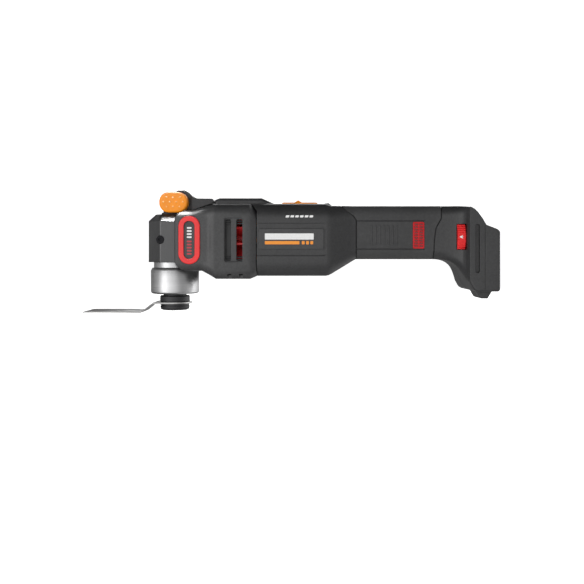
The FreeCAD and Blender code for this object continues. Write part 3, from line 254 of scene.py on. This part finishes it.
def ground_metal(name, colour, rough=0.32, stretch=(40.0, 2400.0, 40.0), metallic=1.0):
    """Ground or brushed steel: long scratches one way, cloudy tone, a few darker stains."""
    s = Shader(name, rough, metallic, Anisotropic=0.4)
    scratch = s.noise(1.0, 4.0, 0.75, stretch)
    cloud = s.noise(55.0, 4.0)
    tone = s.ramp(cloud, [(0.3, scaled(colour, 0.84)), (0.7, scaled(colour, 1.08))])
    line = s.ramp(scratch, [(0.3, (0.78, 0.78, 0.79)), (0.7, (1.12, 1.12, 1.12))])
    s.colour(s.mix(1.0, tone, line, "MULTIPLY"))
    s.rough(s.span(scratch, rough - 0.08, rough + 0.14))
    s.bump(scratch, 0.01)
    return s.mat


def painted_cast(name, colour, rough=0.38, metallic=0.55):
    """Die-cast case with metallic grey paint: orange peel, flake and soft tone drift."""
    s = Shader(name, rough, metallic, Coat_Weight=0.25, Coat_Roughness=0.2)
    s.rounded(0.8)
    flake = s.cells(5200.0)
    tone = s.ramp(s.noise(34.0, 4.0), [(0.3, scaled(colour, 0.9)), (0.7, scaled(colour, 1.1))])
    glint = s.ramp(flake, [(0.1, (1.35, 1.35, 1.36)), (0.45, (0.92, 0.92, 0.92))])
    s.colour(s.mix(1.0, tone, glint, "MULTIPLY"))
    s.rough(s.span(s.noise(70.0, 4.0), rough - 0.06, rough + 0.09))
    s.bump(s.noise(620.0, 3.0, 0.5), 0.03)
    s.bump(s.noise(3200.0, 2.0), 0.008)
    return s.mat


def glossy(name, colour, rough=0.3, height=0.012, specular=0.35):
    """Dyed gloss plastic with a slight moulding ripple and fine scuffs."""
    s = Shader(name, rough, Specular_IOR_Level=specular, Coat_Weight=0.1, Coat_Roughness=0.2)
    s.rounded(0.6)
    drift = s.noise(60.0, 3.0)
    s.colour(s.ramp(drift, [(0.3, scaled(colour, 0.9)), (0.7, tuple(min(1.0, c * 1.06) for c in colour))]))
    scuff = s.noise(1.0, 5.0, 0.8, (260.0, 900.0, 500.0))
    s.rough(s.span(scuff, rough - 0.05, rough + 0.14))
    s.bump(s.noise(1400.0, 3.0), height)
    s.bump(s.noise(160.0, 2.0), height * 1.5)
    return s.mat


def printed(name, colour):
    """Pad-printed ink: slightly raised, slightly uneven."""
    s = Shader(name, 0.42)
    s.colour(s.ramp(s.noise(900.0, 4.0, 0.7), [(0.3, scaled(colour, 0.9)), (0.7, colour)]))
    s.rough(s.span(s.noise(1200.0, 3.0), 0.36, 0.5))
    s.bump(s.noise(2400.0, 2.0), 0.01)
    return s.mat


def lamp_lens():
    """Clear lens with a faint warm glow of its own."""
    s = Shader("lamp_lens", 0.12, Transmission_Weight=0.6, IOR=1.49)
    s.colour(s.ramp(s.noise(300.0), [(0.3, (0.93, 0.93, 0.9)), (0.7, (1.0, 1.0, 0.98))]))
    s.bump(s.noise(900.0, 2.0), 0.01)
    s.bsdf.inputs["Emission Color"].default_value = (1.0, 0.98, 0.93, 1.0)
    s.bsdf.inputs["Emission Strength"].default_value = 1.2
    return s.mat


def circuit_board():
    """Coated board with darker tracks."""
    s = Shader("circuit_board", 0.35, Specular_IOR_Level=0.5)
    tracks = s.cells(420.0, "DISTANCE_TO_EDGE")
    s.colour(s.ramp(tracks, [(0.05, (0.05, 0.22, 0.09)), (0.12, (0.02, 0.1, 0.045))]))
    s.rough(s.span(s.noise(300.0), 0.28, 0.42))
    s.bump(tracks, 0.02)
    return s.mat


MATERIALS = {
    "cast_case": painted_cast("cast_case", (0.042, 0.042, 0.043), 0.32, 0.4),
    "collar_alloy": turned_metal("collar_alloy", (0.4, 0.4, 0.404), 0.3),
    "screw_black": turned_metal("screw_black", (0.012, 0.012, 0.013), 0.24),
    "lens_clear": lamp_lens(),
    "lamp_white": glossy("lamp_white", (0.8, 0.8, 0.74)),
    "seal_rubber": rubbery("seal_rubber", (0.012, 0.012, 0.013)),
    "bearing_steel": turned_metal("bearing_steel", (0.55, 0.55, 0.56), 0.22),
    "tool_steel": turned_metal("tool_steel", (0.42, 0.42, 0.43), 0.28),
    "black_steel": turned_metal("black_steel", (0.022, 0.022, 0.024), 0.42, metallic=0.4),
    "blade_steel": ground_metal("blade_steel", (0.36, 0.357, 0.352)),
    "lever_black": moulded("lever_black", (0.018, 0.018, 0.019), 0.4),
    "orange_plastic": glossy("orange_plastic", (0.95, 0.3, 0.01), 0.5, 0.02, 0.2),
    "bracket_alloy": ground_metal("bracket_alloy", (0.55, 0.55, 0.56), 0.45, (300.0, 300.0, 300.0)),
    "red_plastic": glossy("red_plastic", (0.85, 0.022, 0.024), 0.3),
    "red_rubber": rubbery("red_rubber", (0.5, 0.012, 0.016), 0.55),
    "fan_red": glossy("fan_red", (0.7, 0.03, 0.035), 0.4),
    "core_steel": ground_metal("core_steel", (0.24, 0.24, 0.25), 0.4, (1600.0, 20.0, 20.0)),
    "copper_wire": turned_metal("copper_wire", (0.62, 0.24, 0.09), 0.3, axis="x"),
    "cover_grey": moulded("cover_grey", (0.042, 0.042, 0.043), 0.42),
    "body_grey": moulded("body_grey", (0.033, 0.033, 0.034), 0.43),
    "grip_rubber": rubbery("grip_rubber", (0.05, 0.05, 0.051)),
    "panel_grey": moulded("panel_grey", (0.04, 0.04, 0.041), 0.4),
    "electro_black": moulded("electro_black", (0.01, 0.01, 0.011), 0.42),
    "board_green": circuit_board(),
    "contact_brass": ground_metal("contact_brass", (0.72, 0.52, 0.22), 0.24, (30.0, 600.0, 1600.0)),
}

slot_of = {row["node"]: row["material_slot"] for row in frame["record"]["subparts"]}
# Finishes that differ from the record's slot. The spindle's black steel is painted shade: it darkens the neck under
# the collar where the collar's shadow falls.
FINISH_AND_PAINTED_SHADE = {"cooling_fan": "fan_red", "output_spindle": "black_steel", "lip_seal": "electro_black"}
for name, thing in nodes.items():
    thing.data.materials.clear()
    thing.data.materials.append(MATERIALS[FINISH_AND_PAINTED_SHADE.get(name, slot_of[name])])

# ---------------------------------------------------------------- shading and softened edges


def smoothing_group(angle_deg):
    """Geometry nodes: weld the seams of the imported mesh, and shade smooth except across sharp edges."""
    tree = bpy.data.node_groups.new("smooth_by_angle", "GeometryNodeTree")
    tree.interface.new_socket("Geometry", in_out="INPUT", socket_type="NodeSocketGeometry")
    tree.interface.new_socket("Geometry", in_out="OUTPUT", socket_type="NodeSocketGeometry")
    start = tree.nodes.new("NodeGroupInput")
    finish = tree.nodes.new("NodeGroupOutput")
    weld = tree.nodes.new("GeometryNodeMergeByDistance")
    weld.inputs["Distance"].default_value = 2e-6
    smooth = tree.nodes.new("GeometryNodeSetShadeSmooth")
    sharp = tree.nodes.new("GeometryNodeSetShadeSmooth")
    sharp.domain = "EDGE"
    sharp.inputs["Shade Smooth"].default_value = False
    angle = tree.nodes.new("GeometryNodeInputMeshEdgeAngle")
    compare = tree.nodes.new("FunctionNodeCompare")
    compare.data_type = "FLOAT"
    compare.operation = "GREATER_THAN"
    compare.inputs["B"].default_value = math.radians(angle_deg)
    tree.links.new(start.outputs[0], weld.inputs["Geometry"])
    tree.links.new(weld.outputs["Geometry"], smooth.inputs["Geometry"])
    tree.links.new(smooth.outputs["Geometry"], sharp.inputs["Geometry"])
    tree.links.new(angle.outputs["Unsigned Angle"], compare.inputs["A"])
    tree.links.new(compare.outputs["Result"], sharp.inputs["Selection"])
    tree.links.new(sharp.outputs["Geometry"], finish.inputs[0])
    return tree


SMOOTHING = smoothing_group(32.0)


def soften(thing, width_mm=0.0):
    """Smooth shading with crisp edges, and a small bevel on them where a width is given."""
    shape = thing.modifiers.new("smoothing", "NODES")
    shape.node_group = SMOOTHING
    if width_mm:
        bevel = thing.modifiers.new("edge", "BEVEL")
        bevel.width = width_mm * MM
        bevel.segments = 2
        bevel.limit_method = "ANGLE"
        bevel.angle_limit = math.radians(38.0)
        bevel.use_clamp_overlap = True
        bevel.harden_normals = False
        bevel.miter_outer = "MITER_ARC"


BEVELS = {
    "gear_head_case": 0.5, "head_collar": 0.3, "slide_switch": 0.35, "foot_stop": 0.5, "hub_base": 0.3,
    "lever_body": 0.3,
}
for name, thing in nodes.items():
    if "custom_normal" in thing.data.attributes:
        thing.data.attributes.remove(thing.data.attributes["custom_normal"])
    soften(thing, BEVELS.get(name, 0.0))

# ---------------------------------------------------------------- printed and raised detail


def piece_from(name, maker, material, body):
    """A mesh piece filled by maker(bm), riding on the body."""
    mesh = bpy.data.meshes.new(name)
    bm = bmesh.new()
    maker(bm)
    bmesh.ops.recalc_face_normals(bm, faces=bm.faces)
    bm.to_mesh(mesh)
    bm.free()
    mesh.shade_smooth()
    mesh.materials.append(material)
    thing = bpy.data.objects.new(name, mesh)
    bpy.context.collection.objects.link(thing)
    shape = thing.modifiers.new("smoothing", "NODES")
    shape.node_group = SMOOTHING
    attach(thing, body)
    return thing


def rounded_outline(low, high, radius, steps=5):
    """Points round a rectangle with rounded corners, anticlockwise."""
    corners = [(high[0] - radius, low[1] + radius, -90), (high[0] - radius, high[1] - radius, 0),
               (low[0] + radius, high[1] - radius, 90), (low[0] + radius, low[1] + radius, 180)]
    points = []
    for across, up, start in corners:
        for step in range(steps + 1):
            turn = math.radians(start + 90 * step / steps)
            points.append((across + radius * math.cos(turn), up + radius * math.sin(turn)))
    return points


def slab(bm, outline, near, far, lean=0.0, crown=0.0):
    """A closed plate of the (X, Z) outline between two Y planes. Crown draws the outer rim in for a soft edge."""
    middle = Vector((sum(x for x, z in outline) / len(outline), 0.0, sum(z for x, z in outline) / len(outline)))

    def level(y, inset):
        ring = []
        for x, z in outline:
            point = Vector((x + lean * (z - middle.z), y, z))
            inward = Vector((middle.x - x, 0.0, middle.z - z))
            ring.append(bm.verts.new(point + inward.normalized() * inset))
        return ring

    rings = [level(near, 0.0), level(far, 0.0)]
    if crown:
        rings = [level(near, 0.0), level(far - crown * (1 if far > near else -1), 0.0), level(far, crown)]
    bm.faces.new(rings[0])
    bm.faces.new(rings[-1][::-1])
    for first, second in zip(rings, rings[1:]):
        for index in range(len(outline)):
            after = (index + 1) % len(outline)
            bm.faces.new((first[index], first[after], second[after], second[index]))


def dome(bm, centre, radius, height, outward, around=14, levels=3):
    """A low round bump standing on a plane across Y. Its foot sinks a little into the surface."""
    rings = []
    for level in range(levels + 1):
        lift = math.radians(90 * level / (levels + 1))
        rings.append([bm.verts.new((
            centre[0] + radius * math.cos(lift) * math.cos(2 * math.pi * k / around),
            centre[1] + outward * height * math.sin(lift),
            centre[2] + radius * math.cos(lift) * math.sin(2 * math.pi * k / around))) for k in range(around)])
    base = [bm.verts.new((vert.co.x, vert.co.y - outward * 0.1 * MM, vert.co.z)) for vert in rings[0]]
    rings.insert(0, base)
    tip = bm.verts.new((centre[0], centre[1] + outward * height, centre[2]))
    bm.faces.new(base)
    for first, second in zip(rings, rings[1:]):
        for k in range(around):
            bm.faces.new((first[k], first[(k + 1) % around], second[(k + 1) % around], second[k]))
    for k in range(around):
        bm.faces.new((rings[-1][k], rings[-1][(k + 1) % around], tip))


SIDES = {"left": -1, "right": 1}
INK_MM = 0.08
ink_white = printed("ink_white", (0.86, 0.86, 0.85))
ink_orange = printed("ink_orange", (0.92, 0.30, 0.014))
ink_red = printed("ink_red", (0.5, 0.02, 0.03))
ink_dark_red = printed("ink_dark_red", (0.2, 0.006, 0.008))
dot_orange = printed("dot_orange", (0.98, 0.42, 0.06))


def outer_y(node, sign):
    """The Y of the node's outer face on that side of the tool."""
    low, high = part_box(node)
    return high.y if sign > 0 else low.y


def bars(name, node, sign, rows, material, body="housing", thick_mm=INK_MM, radius_mm=0.5, lean=0.0, sink_mm=0.05):
    """Flat bars on the node's outer face: each row is (x0, x1, z0, z1) in millimetres from the node's centre."""
    low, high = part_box(node)
    centre = (low + high) / 2
    face = outer_y(node, sign)

    def maker(bm):
        for x0, x1, z0, z1 in rows:
            outline = rounded_outline((centre.x + x0 * MM, centre.z + z0 * MM),
                                      (centre.x + x1 * MM, centre.z + z1 * MM), radius_mm * MM)
            slab(bm, outline, face - sign * sink_mm * MM, face + sign * thick_mm * MM, lean)

    thing = piece_from(name, maker, material, body)
    return thing


for side, sign in SIDES.items():
    panel = f"side_panel_{side}"
    bars(f"panel_bar_white_{side}", panel, sign, [(-22.0, 19.0, -0.6, 4.6)], ink_white)
    bars(f"panel_bar_orange_{side}", panel, sign, [(-22.0, 7.0, -4.6, -1.8)], ink_orange)
    bars(f"panel_tick_orange_{side}", panel, sign, [(9.0 + 3.6 * k, 11.4 + 3.6 * k, -4.6, -1.8) for k in range(3)],
         ink_orange)
    badge = f"badge_insert_{side}"
    bars(f"badge_rungs_white_{side}", badge, sign, [(-2.0, 2.0, 1.6 + 2.6 * k, 3.0 + 2.6 * k) for k in range(4)],
         ink_white)
    bars(f"badge_rungs_red_{side}", badge, sign, [(-2.0, 2.0, -12.4 + 2.6 * k, -11.0 + 2.6 * k) for k in range(5)],
         ink_red)


def wing_dots(side, sign):
    """Grip dots in rows of three, four and three on the wing's face."""
    low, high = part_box(f"grip_wing_{side}")
    centre = (low + high) / 2
    face = outer_y(f"grip_wing_{side}", sign)

    def maker(bm):
        for row, count in ((4.0, 3), (0.0, 4), (-4.0, 3)):
            for k in range(count):
                dome(bm, (centre.x + 5.6 * MM * (k - (count - 1) / 2), face - sign * 0.02 * MM, centre.z + row * MM),
                     0.9 * MM, 0.5 * MM, sign)

    thing = piece_from(f"wing_dots_{side}", maker, dot_orange, "housing")


def badge_studs(side, sign):
    """Two columns of raised studs with a rim, moulded on the grip badge."""
    low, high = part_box(f"grip_badge_{side}")
    centre = (low + high) / 2
    face = outer_y(f"grip_badge_{side}", sign)

    def maker(bm):
        for column in (-1, 1):
            for k in range(9):
                across, up = centre.x + column * 2.1 * MM, centre.z + (k - 4) * 2.3 * MM
                outline = rounded_outline((across - 1.5 * MM, up - 0.75 * MM), (across + 1.5 * MM, up + 0.75 * MM),
                                          0.6 * MM, 3)
                slab(bm, outline, face - sign * 0.1 * MM, face + sign * 0.45 * MM, crown=0.2 * MM)

    thing = piece_from(f"badge_studs_{side}", maker, ink_dark_red, "housing")


def grip_hatch(side, sign):
    """Shallow upright ridges on the flat of the grip."""
    low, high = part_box(f"grip_badge_{side}")
    middle_z = (low.z + high.z) / 2
    face = min(abs(outer_y(f"grip_shell_{side}", sign)), GRIP_HALF) * sign

    def maker(bm):
        for k in range(7):
            left = low.x - 36 * MM + 3.6 * MM * k
            outline = rounded_outline((left, middle_z - 8.5 * MM), (left + 1.6 * MM, middle_z + 8.5 * MM),
                                      0.5 * MM, 3)
            slab(bm, outline, face - sign * 0.1 * MM, face + sign * 0.22 * MM, crown=0.15 * MM)

    thing = piece_from(f"grip_hatch_{side}", maker, MATERIALS["grip_rubber"], "housing")


for side, sign in SIDES.items():
    wing_dots(side, sign)
    badge_studs(side, sign)
    grip_hatch(side, sign)


def dashes(side, sign):
    """A short dashed line printed above the side panel."""
    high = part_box(f"side_panel_{side}")[1]
    face = sign * BODY_HALF
    dash, pitch = 3.0 * MM, 4.0 * MM

    def maker(bm):
        left = high.x - 32 * MM
        for k in range(6):
            start = left + pitch * k
            outline = rounded_outline((start, high.z + 9.3 * MM), (start + dash, high.z + 11.1 * MM), 0.5 * MM, 3)
            slab(bm, outline, face - sign * 0.3 * MM, face + sign * INK_MM * MM, lean=0.3)

    thing = piece_from(f"dash_line_{side}", maker, ink_white, "housing")


for side, sign in SIDES.items():
    dashes(side, sign)


def vent_lining(side, sign):
    """Ribbed dust bars behind the top and bottom of the vents, and a baffle behind the front slot."""
    fan_low, fan_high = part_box("cooling_fan")
    near = outer_y(f"front_cover_{side}", sign) - sign * 3.2 * MM
    slots = (fan_low.x - 7.6 * MM, fan_high.x - 0.6 * MM)
    rib_tops = (71.6 * MM, 39.2 * MM)
    baffle_low, baffle_high = 34.5 * MM, 72.5 * MM

    def ribs(bm):
        for base in rib_tops:
            for k in range(3):
                up = base - 2.0 * MM * k
                outline = rounded_outline((slots[0], up - 0.6 * MM), (slots[1], up + 0.6 * MM), 0.3 * MM, 2)
                slab(bm, outline, near, near - sign * 1.2 * MM)

    def baffle(bm):
        outline = rounded_outline((slots[0] - 0.6 * MM, baffle_low), (fan_low.x - 0.6 * MM, baffle_high), 2.0 * MM, 3)
        slab(bm, outline, near - sign * 2.4 * MM, near - sign * 3.6 * MM, crown=0.3 * MM)

    for name, maker in ((f"vent_ribs_{side}", ribs), (f"vent_baffle_{side}", baffle)):
        thing = piece_from(name, maker, MATERIALS["electro_black"], "housing")


for side, sign in SIDES.items():
    vent_lining(side, sign)


def clamp_coil():
    """The clamp spring as a wound wire, riding with the spindle."""
    low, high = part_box("clamp_spring")
    wire, pitch, around, per_turn = 0.5 * MM, 2.4 * MM, 10, 24
    coil = (high.x - low.x) / 2 - wire
    foot = low.z + wire
    turns = (high.z - low.z - 2 * wire) / pitch
    steps = round(turns * per_turn)

    def maker(bm):
        rings = []
        for step in range(steps + 1):
            turn = 2 * math.pi * turns * step / steps
            out = Vector((math.cos(turn), math.sin(turn), 0.0))
            centre = out * coil + Vector((0.0, 0.0, foot + pitch * turns * step / steps))
            ring = []
            for k in range(around):
                lift = 2 * math.pi * k / around
                ring.append(bm.verts.new(centre + out * wire * math.cos(lift)
                                         + Vector((0.0, 0.0, wire * math.sin(lift)))))
            rings.append(ring)
        bm.faces.new(rings[0])
        bm.faces.new(rings[-1][::-1])
        for first, second in zip(rings, rings[1:]):
            for k in range(around):
                bm.faces.new((first[k], first[(k + 1) % around], second[(k + 1) % around], second[k]))

    thing = piece_from("clamp_coil", maker, MATERIALS["tool_steel"], "spindle")
    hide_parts("clamp_spring")
    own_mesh(thing)


clamp_coil()


def seam_gasket():
    """A foam block across the top of the cover seam, which keeps dust and light out of the gap."""
    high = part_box("front_cover_left")[1]

    def maker(bm):
        outline = rounded_outline((high.x - 6.8 * MM, high.z - 12 * MM), (high.x + 2.2 * MM, high.z - 0.2 * MM),
                                  0.6 * MM, 3)
        slab(bm, outline, -6 * MM, 6 * MM)

    thing = piece_from("seam_gasket", maker, MATERIALS["seal_rubber"], "housing")


seam_gasket()


def dial_marks():
    """A white pointer for every speed step round the rim of the dial."""
    low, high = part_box("speed_dial")
    centre = (low + high) / 2
    reach = (high.z - low.z) / 2

    def maker(bm):
        for step in range(6):
            middle = math.radians(180 + 45 * step)
            shape = [(-1.9, -0.2), (0.9, -1.5), (0.3, -0.2), (1.9, 0.0), (0.3, 0.2), (0.9, 1.5), (-1.9, 0.2)]
            rings = []
            for lift in (reach - 0.5 * MM, reach + 0.12 * MM):
                rings.append([bm.verts.new((
                    centre.x + x * MM,
                    centre.y + lift * math.cos(middle + z * MM / reach),
                    centre.z + lift * math.sin(middle + z * MM / reach))) for x, z in shape])
            bm.faces.new(rings[0])
            bm.faces.new(rings[1][::-1])
            for index in range(len(shape)):
                after = (index + 1) % len(shape)
                bm.faces.new((rings[0][index], rings[0][after], rings[1][after], rings[1][index]))

    thing = piece_from("dial_marks", maker, ink_white, "dial")


dial_marks()

# ---------------------------------------------------------------- studio


def soft_light(name, at, aim, size, watts, only_gloss=False, spread_deg=180):
    """A rectangular lamp that the camera can't see. With only_gloss it shows in reflections alone."""
    light = bpy.data.lights.new(name, "AREA")
    light.shape = "RECTANGLE"
    light.size, light.size_y = size
    light.energy = watts
    light.spread = math.radians(spread_deg)
    lamp = bpy.data.objects.new(name, light)
    bpy.context.collection.objects.link(lamp)
    lamp.location = at
    lamp.rotation_mode = "QUATERNION"
    lamp.rotation_quaternion = (Vector(aim) - Vector(at)).to_track_quat("-Z", "Y")
    lamp.visible_camera = False
    lamp.visible_diffuse = not only_gloss


def studio_world():
    """Soft room light: brightest near eye level, to the front left and the rear right, dim overhead."""
    world = bpy.data.worlds.new("studio")
    bpy.context.scene.world = world
    world.use_nodes = True
    tree = world.node_tree
    coords = tree.nodes.new("ShaderNodeTexCoord")
    split = tree.nodes.new("ShaderNodeSeparateXYZ")
    tree.links.new(coords.outputs["Generated"], split.inputs[0])

    def ramp(source, stops):
        node = tree.nodes.new("ShaderNodeValToRGB")
        elements = node.color_ramp.elements
        while len(elements) < len(stops):
            elements.new(0.5)
        for element, (position, level) in zip(elements, stops):
            element.position = position
            element.color = (level, level, level, 1.0)
        tree.links.new(source, node.inputs["Fac"])
        return node.outputs["Color"]

    def spread(source, low, high):
        node = tree.nodes.new("ShaderNodeMapRange")
        node.inputs["From Min"].default_value = low
        node.inputs["From Max"].default_value = high
        tree.links.new(source, node.inputs["Value"])
        return node.outputs["Result"]

    by_height = ramp(spread(split.outputs["Z"], -1.0, 1.0),
                     [(0.0, 0.45), (0.35, 0.75), (0.5, 1.0), (0.6, 0.95), (0.72, 0.4), (0.85, 0.12), (1.0, 0.05)])
    forward = tree.nodes.new("ShaderNodeMath")
    forward.operation = "MULTIPLY"
    forward.inputs[1].default_value = -1.0
    tree.links.new(split.outputs["Y"], forward.inputs[0])
    heading = tree.nodes.new("ShaderNodeMath")
    heading.operation = "ARCTAN2"
    tree.links.new(split.outputs["X"], heading.inputs[0])
    tree.links.new(forward.outputs[0], heading.inputs[1])
    by_heading = ramp(spread(heading.outputs[0], -math.pi, math.pi),
                      [(0.0, 0.2), (0.19, 0.12), (0.24, 0.3), (0.28, 0.16), (0.34, 0.8), (0.43, 0.75), (0.5, 0.5),
                       (0.56, 0.28), (0.67, 0.28), (0.78, 0.8), (0.88, 0.8), (0.93, 0.3), (1.0, 0.2)])
    product = tree.nodes.new("ShaderNodeMix")
    product.data_type = "RGBA"
    product.blend_type = "MULTIPLY"
    product.inputs[0].default_value = 1.0
    tree.links.new(by_height, product.inputs[6])
    tree.links.new(by_heading, product.inputs[7])
    background = tree.nodes["Background"]
    tree.links.new(product.outputs[2], background.inputs["Color"])
    background.inputs["Strength"].default_value = 2.25


def studio():
    """Pale swept backdrop, soft lamps and a level camera at the side of the tool."""
    floor_z = cad_low.z - FLOOR_DROP
    profile = [(-3.0, floor_z)]
    sweep, back = 1.2, 2.4
    for step in range(13):
        turn = math.radians(90 * step / 12)
        profile.append((back - sweep + sweep * math.sin(turn), floor_z + sweep - sweep * math.cos(turn)))
    profile.append((back, 4.0))
    bm = bmesh.new()
    rows = [[bm.verts.new((x, y, z)) for x in (-4.0, 4.2)] for y, z in profile]
    for first, second in zip(rows, rows[1:]):
        bm.faces.new((first[0], first[1], second[1], second[0]))
    mesh = bpy.data.meshes.new("backdrop")
    bm.to_mesh(mesh)
    bm.free()
    mesh.shade_smooth()
    backdrop = bpy.data.objects.new("backdrop", mesh)
    bpy.context.collection.objects.link(backdrop)
    paper = Shader("backdrop_paper", 0.9, Specular_IOR_Level=0.1, Emission_Strength=0.8)
    paper.colour(paper.ramp(paper.noise(3.0), [(0.3, (0.84, 0.84, 0.84)), (0.7, (0.87, 0.87, 0.87))]))
    paper.bsdf.inputs["Emission Color"].default_value = (1.0, 1.0, 1.0, 1.0)
    mesh.materials.append(paper.mat)
    backdrop.visible_diffuse = False
    backdrop.visible_glossy = False

    studio_world()
    soft_light("head_strip", (-0.008, -0.07, 0.25), (-0.008, -0.03, 0.08), (0.03, 0.08), 0.14,
               only_gloss=True, spread_deg=22)
    soft_light("left_box", (-0.62, -0.66, 0.12), (0.05, 0.0, 0.05), (0.4, 0.6), 1.4)
    soft_light("right_box", (1.0, 0.3, 0.1), (0.1, 0.0, 0.05), (0.5, 0.8), 1.6)
    soft_light("back_box", (0.3, 1.2, 0.5), (0.1, 0.0, 0.05), (1.0, 0.6), 7.0)
    sun = bpy.data.lights.new("sky", "SUN")
    sun.energy = 0.6
    sun.angle = math.radians(70)
    sky = bpy.data.objects.new("sky", sun)
    bpy.context.collection.objects.link(sky)
    sky.rotation_mode = "QUATERNION"
    sky.rotation_quaternion = Vector((0.15, 0.98, 0.05)).to_track_quat("-Z", "Y")

    camera = bpy.data.cameras.new("camera")
    camera.lens = 44.8
    camera.sensor_width = 36.0
    camera.shift_x = -0.0137
    camera.shift_y = -0.072
    camera.clip_start = 0.01
    view = bpy.data.objects.new("camera", camera)
    bpy.context.collection.objects.link(view)
    view.location = (0.110, -0.640, 0.0453)
    view.rotation_euler = (math.radians(90), 0.0, 0.0)
    bpy.context.scene.camera = view
    bpy.context.scene.view_settings.view_transform = "Standard"


studio()
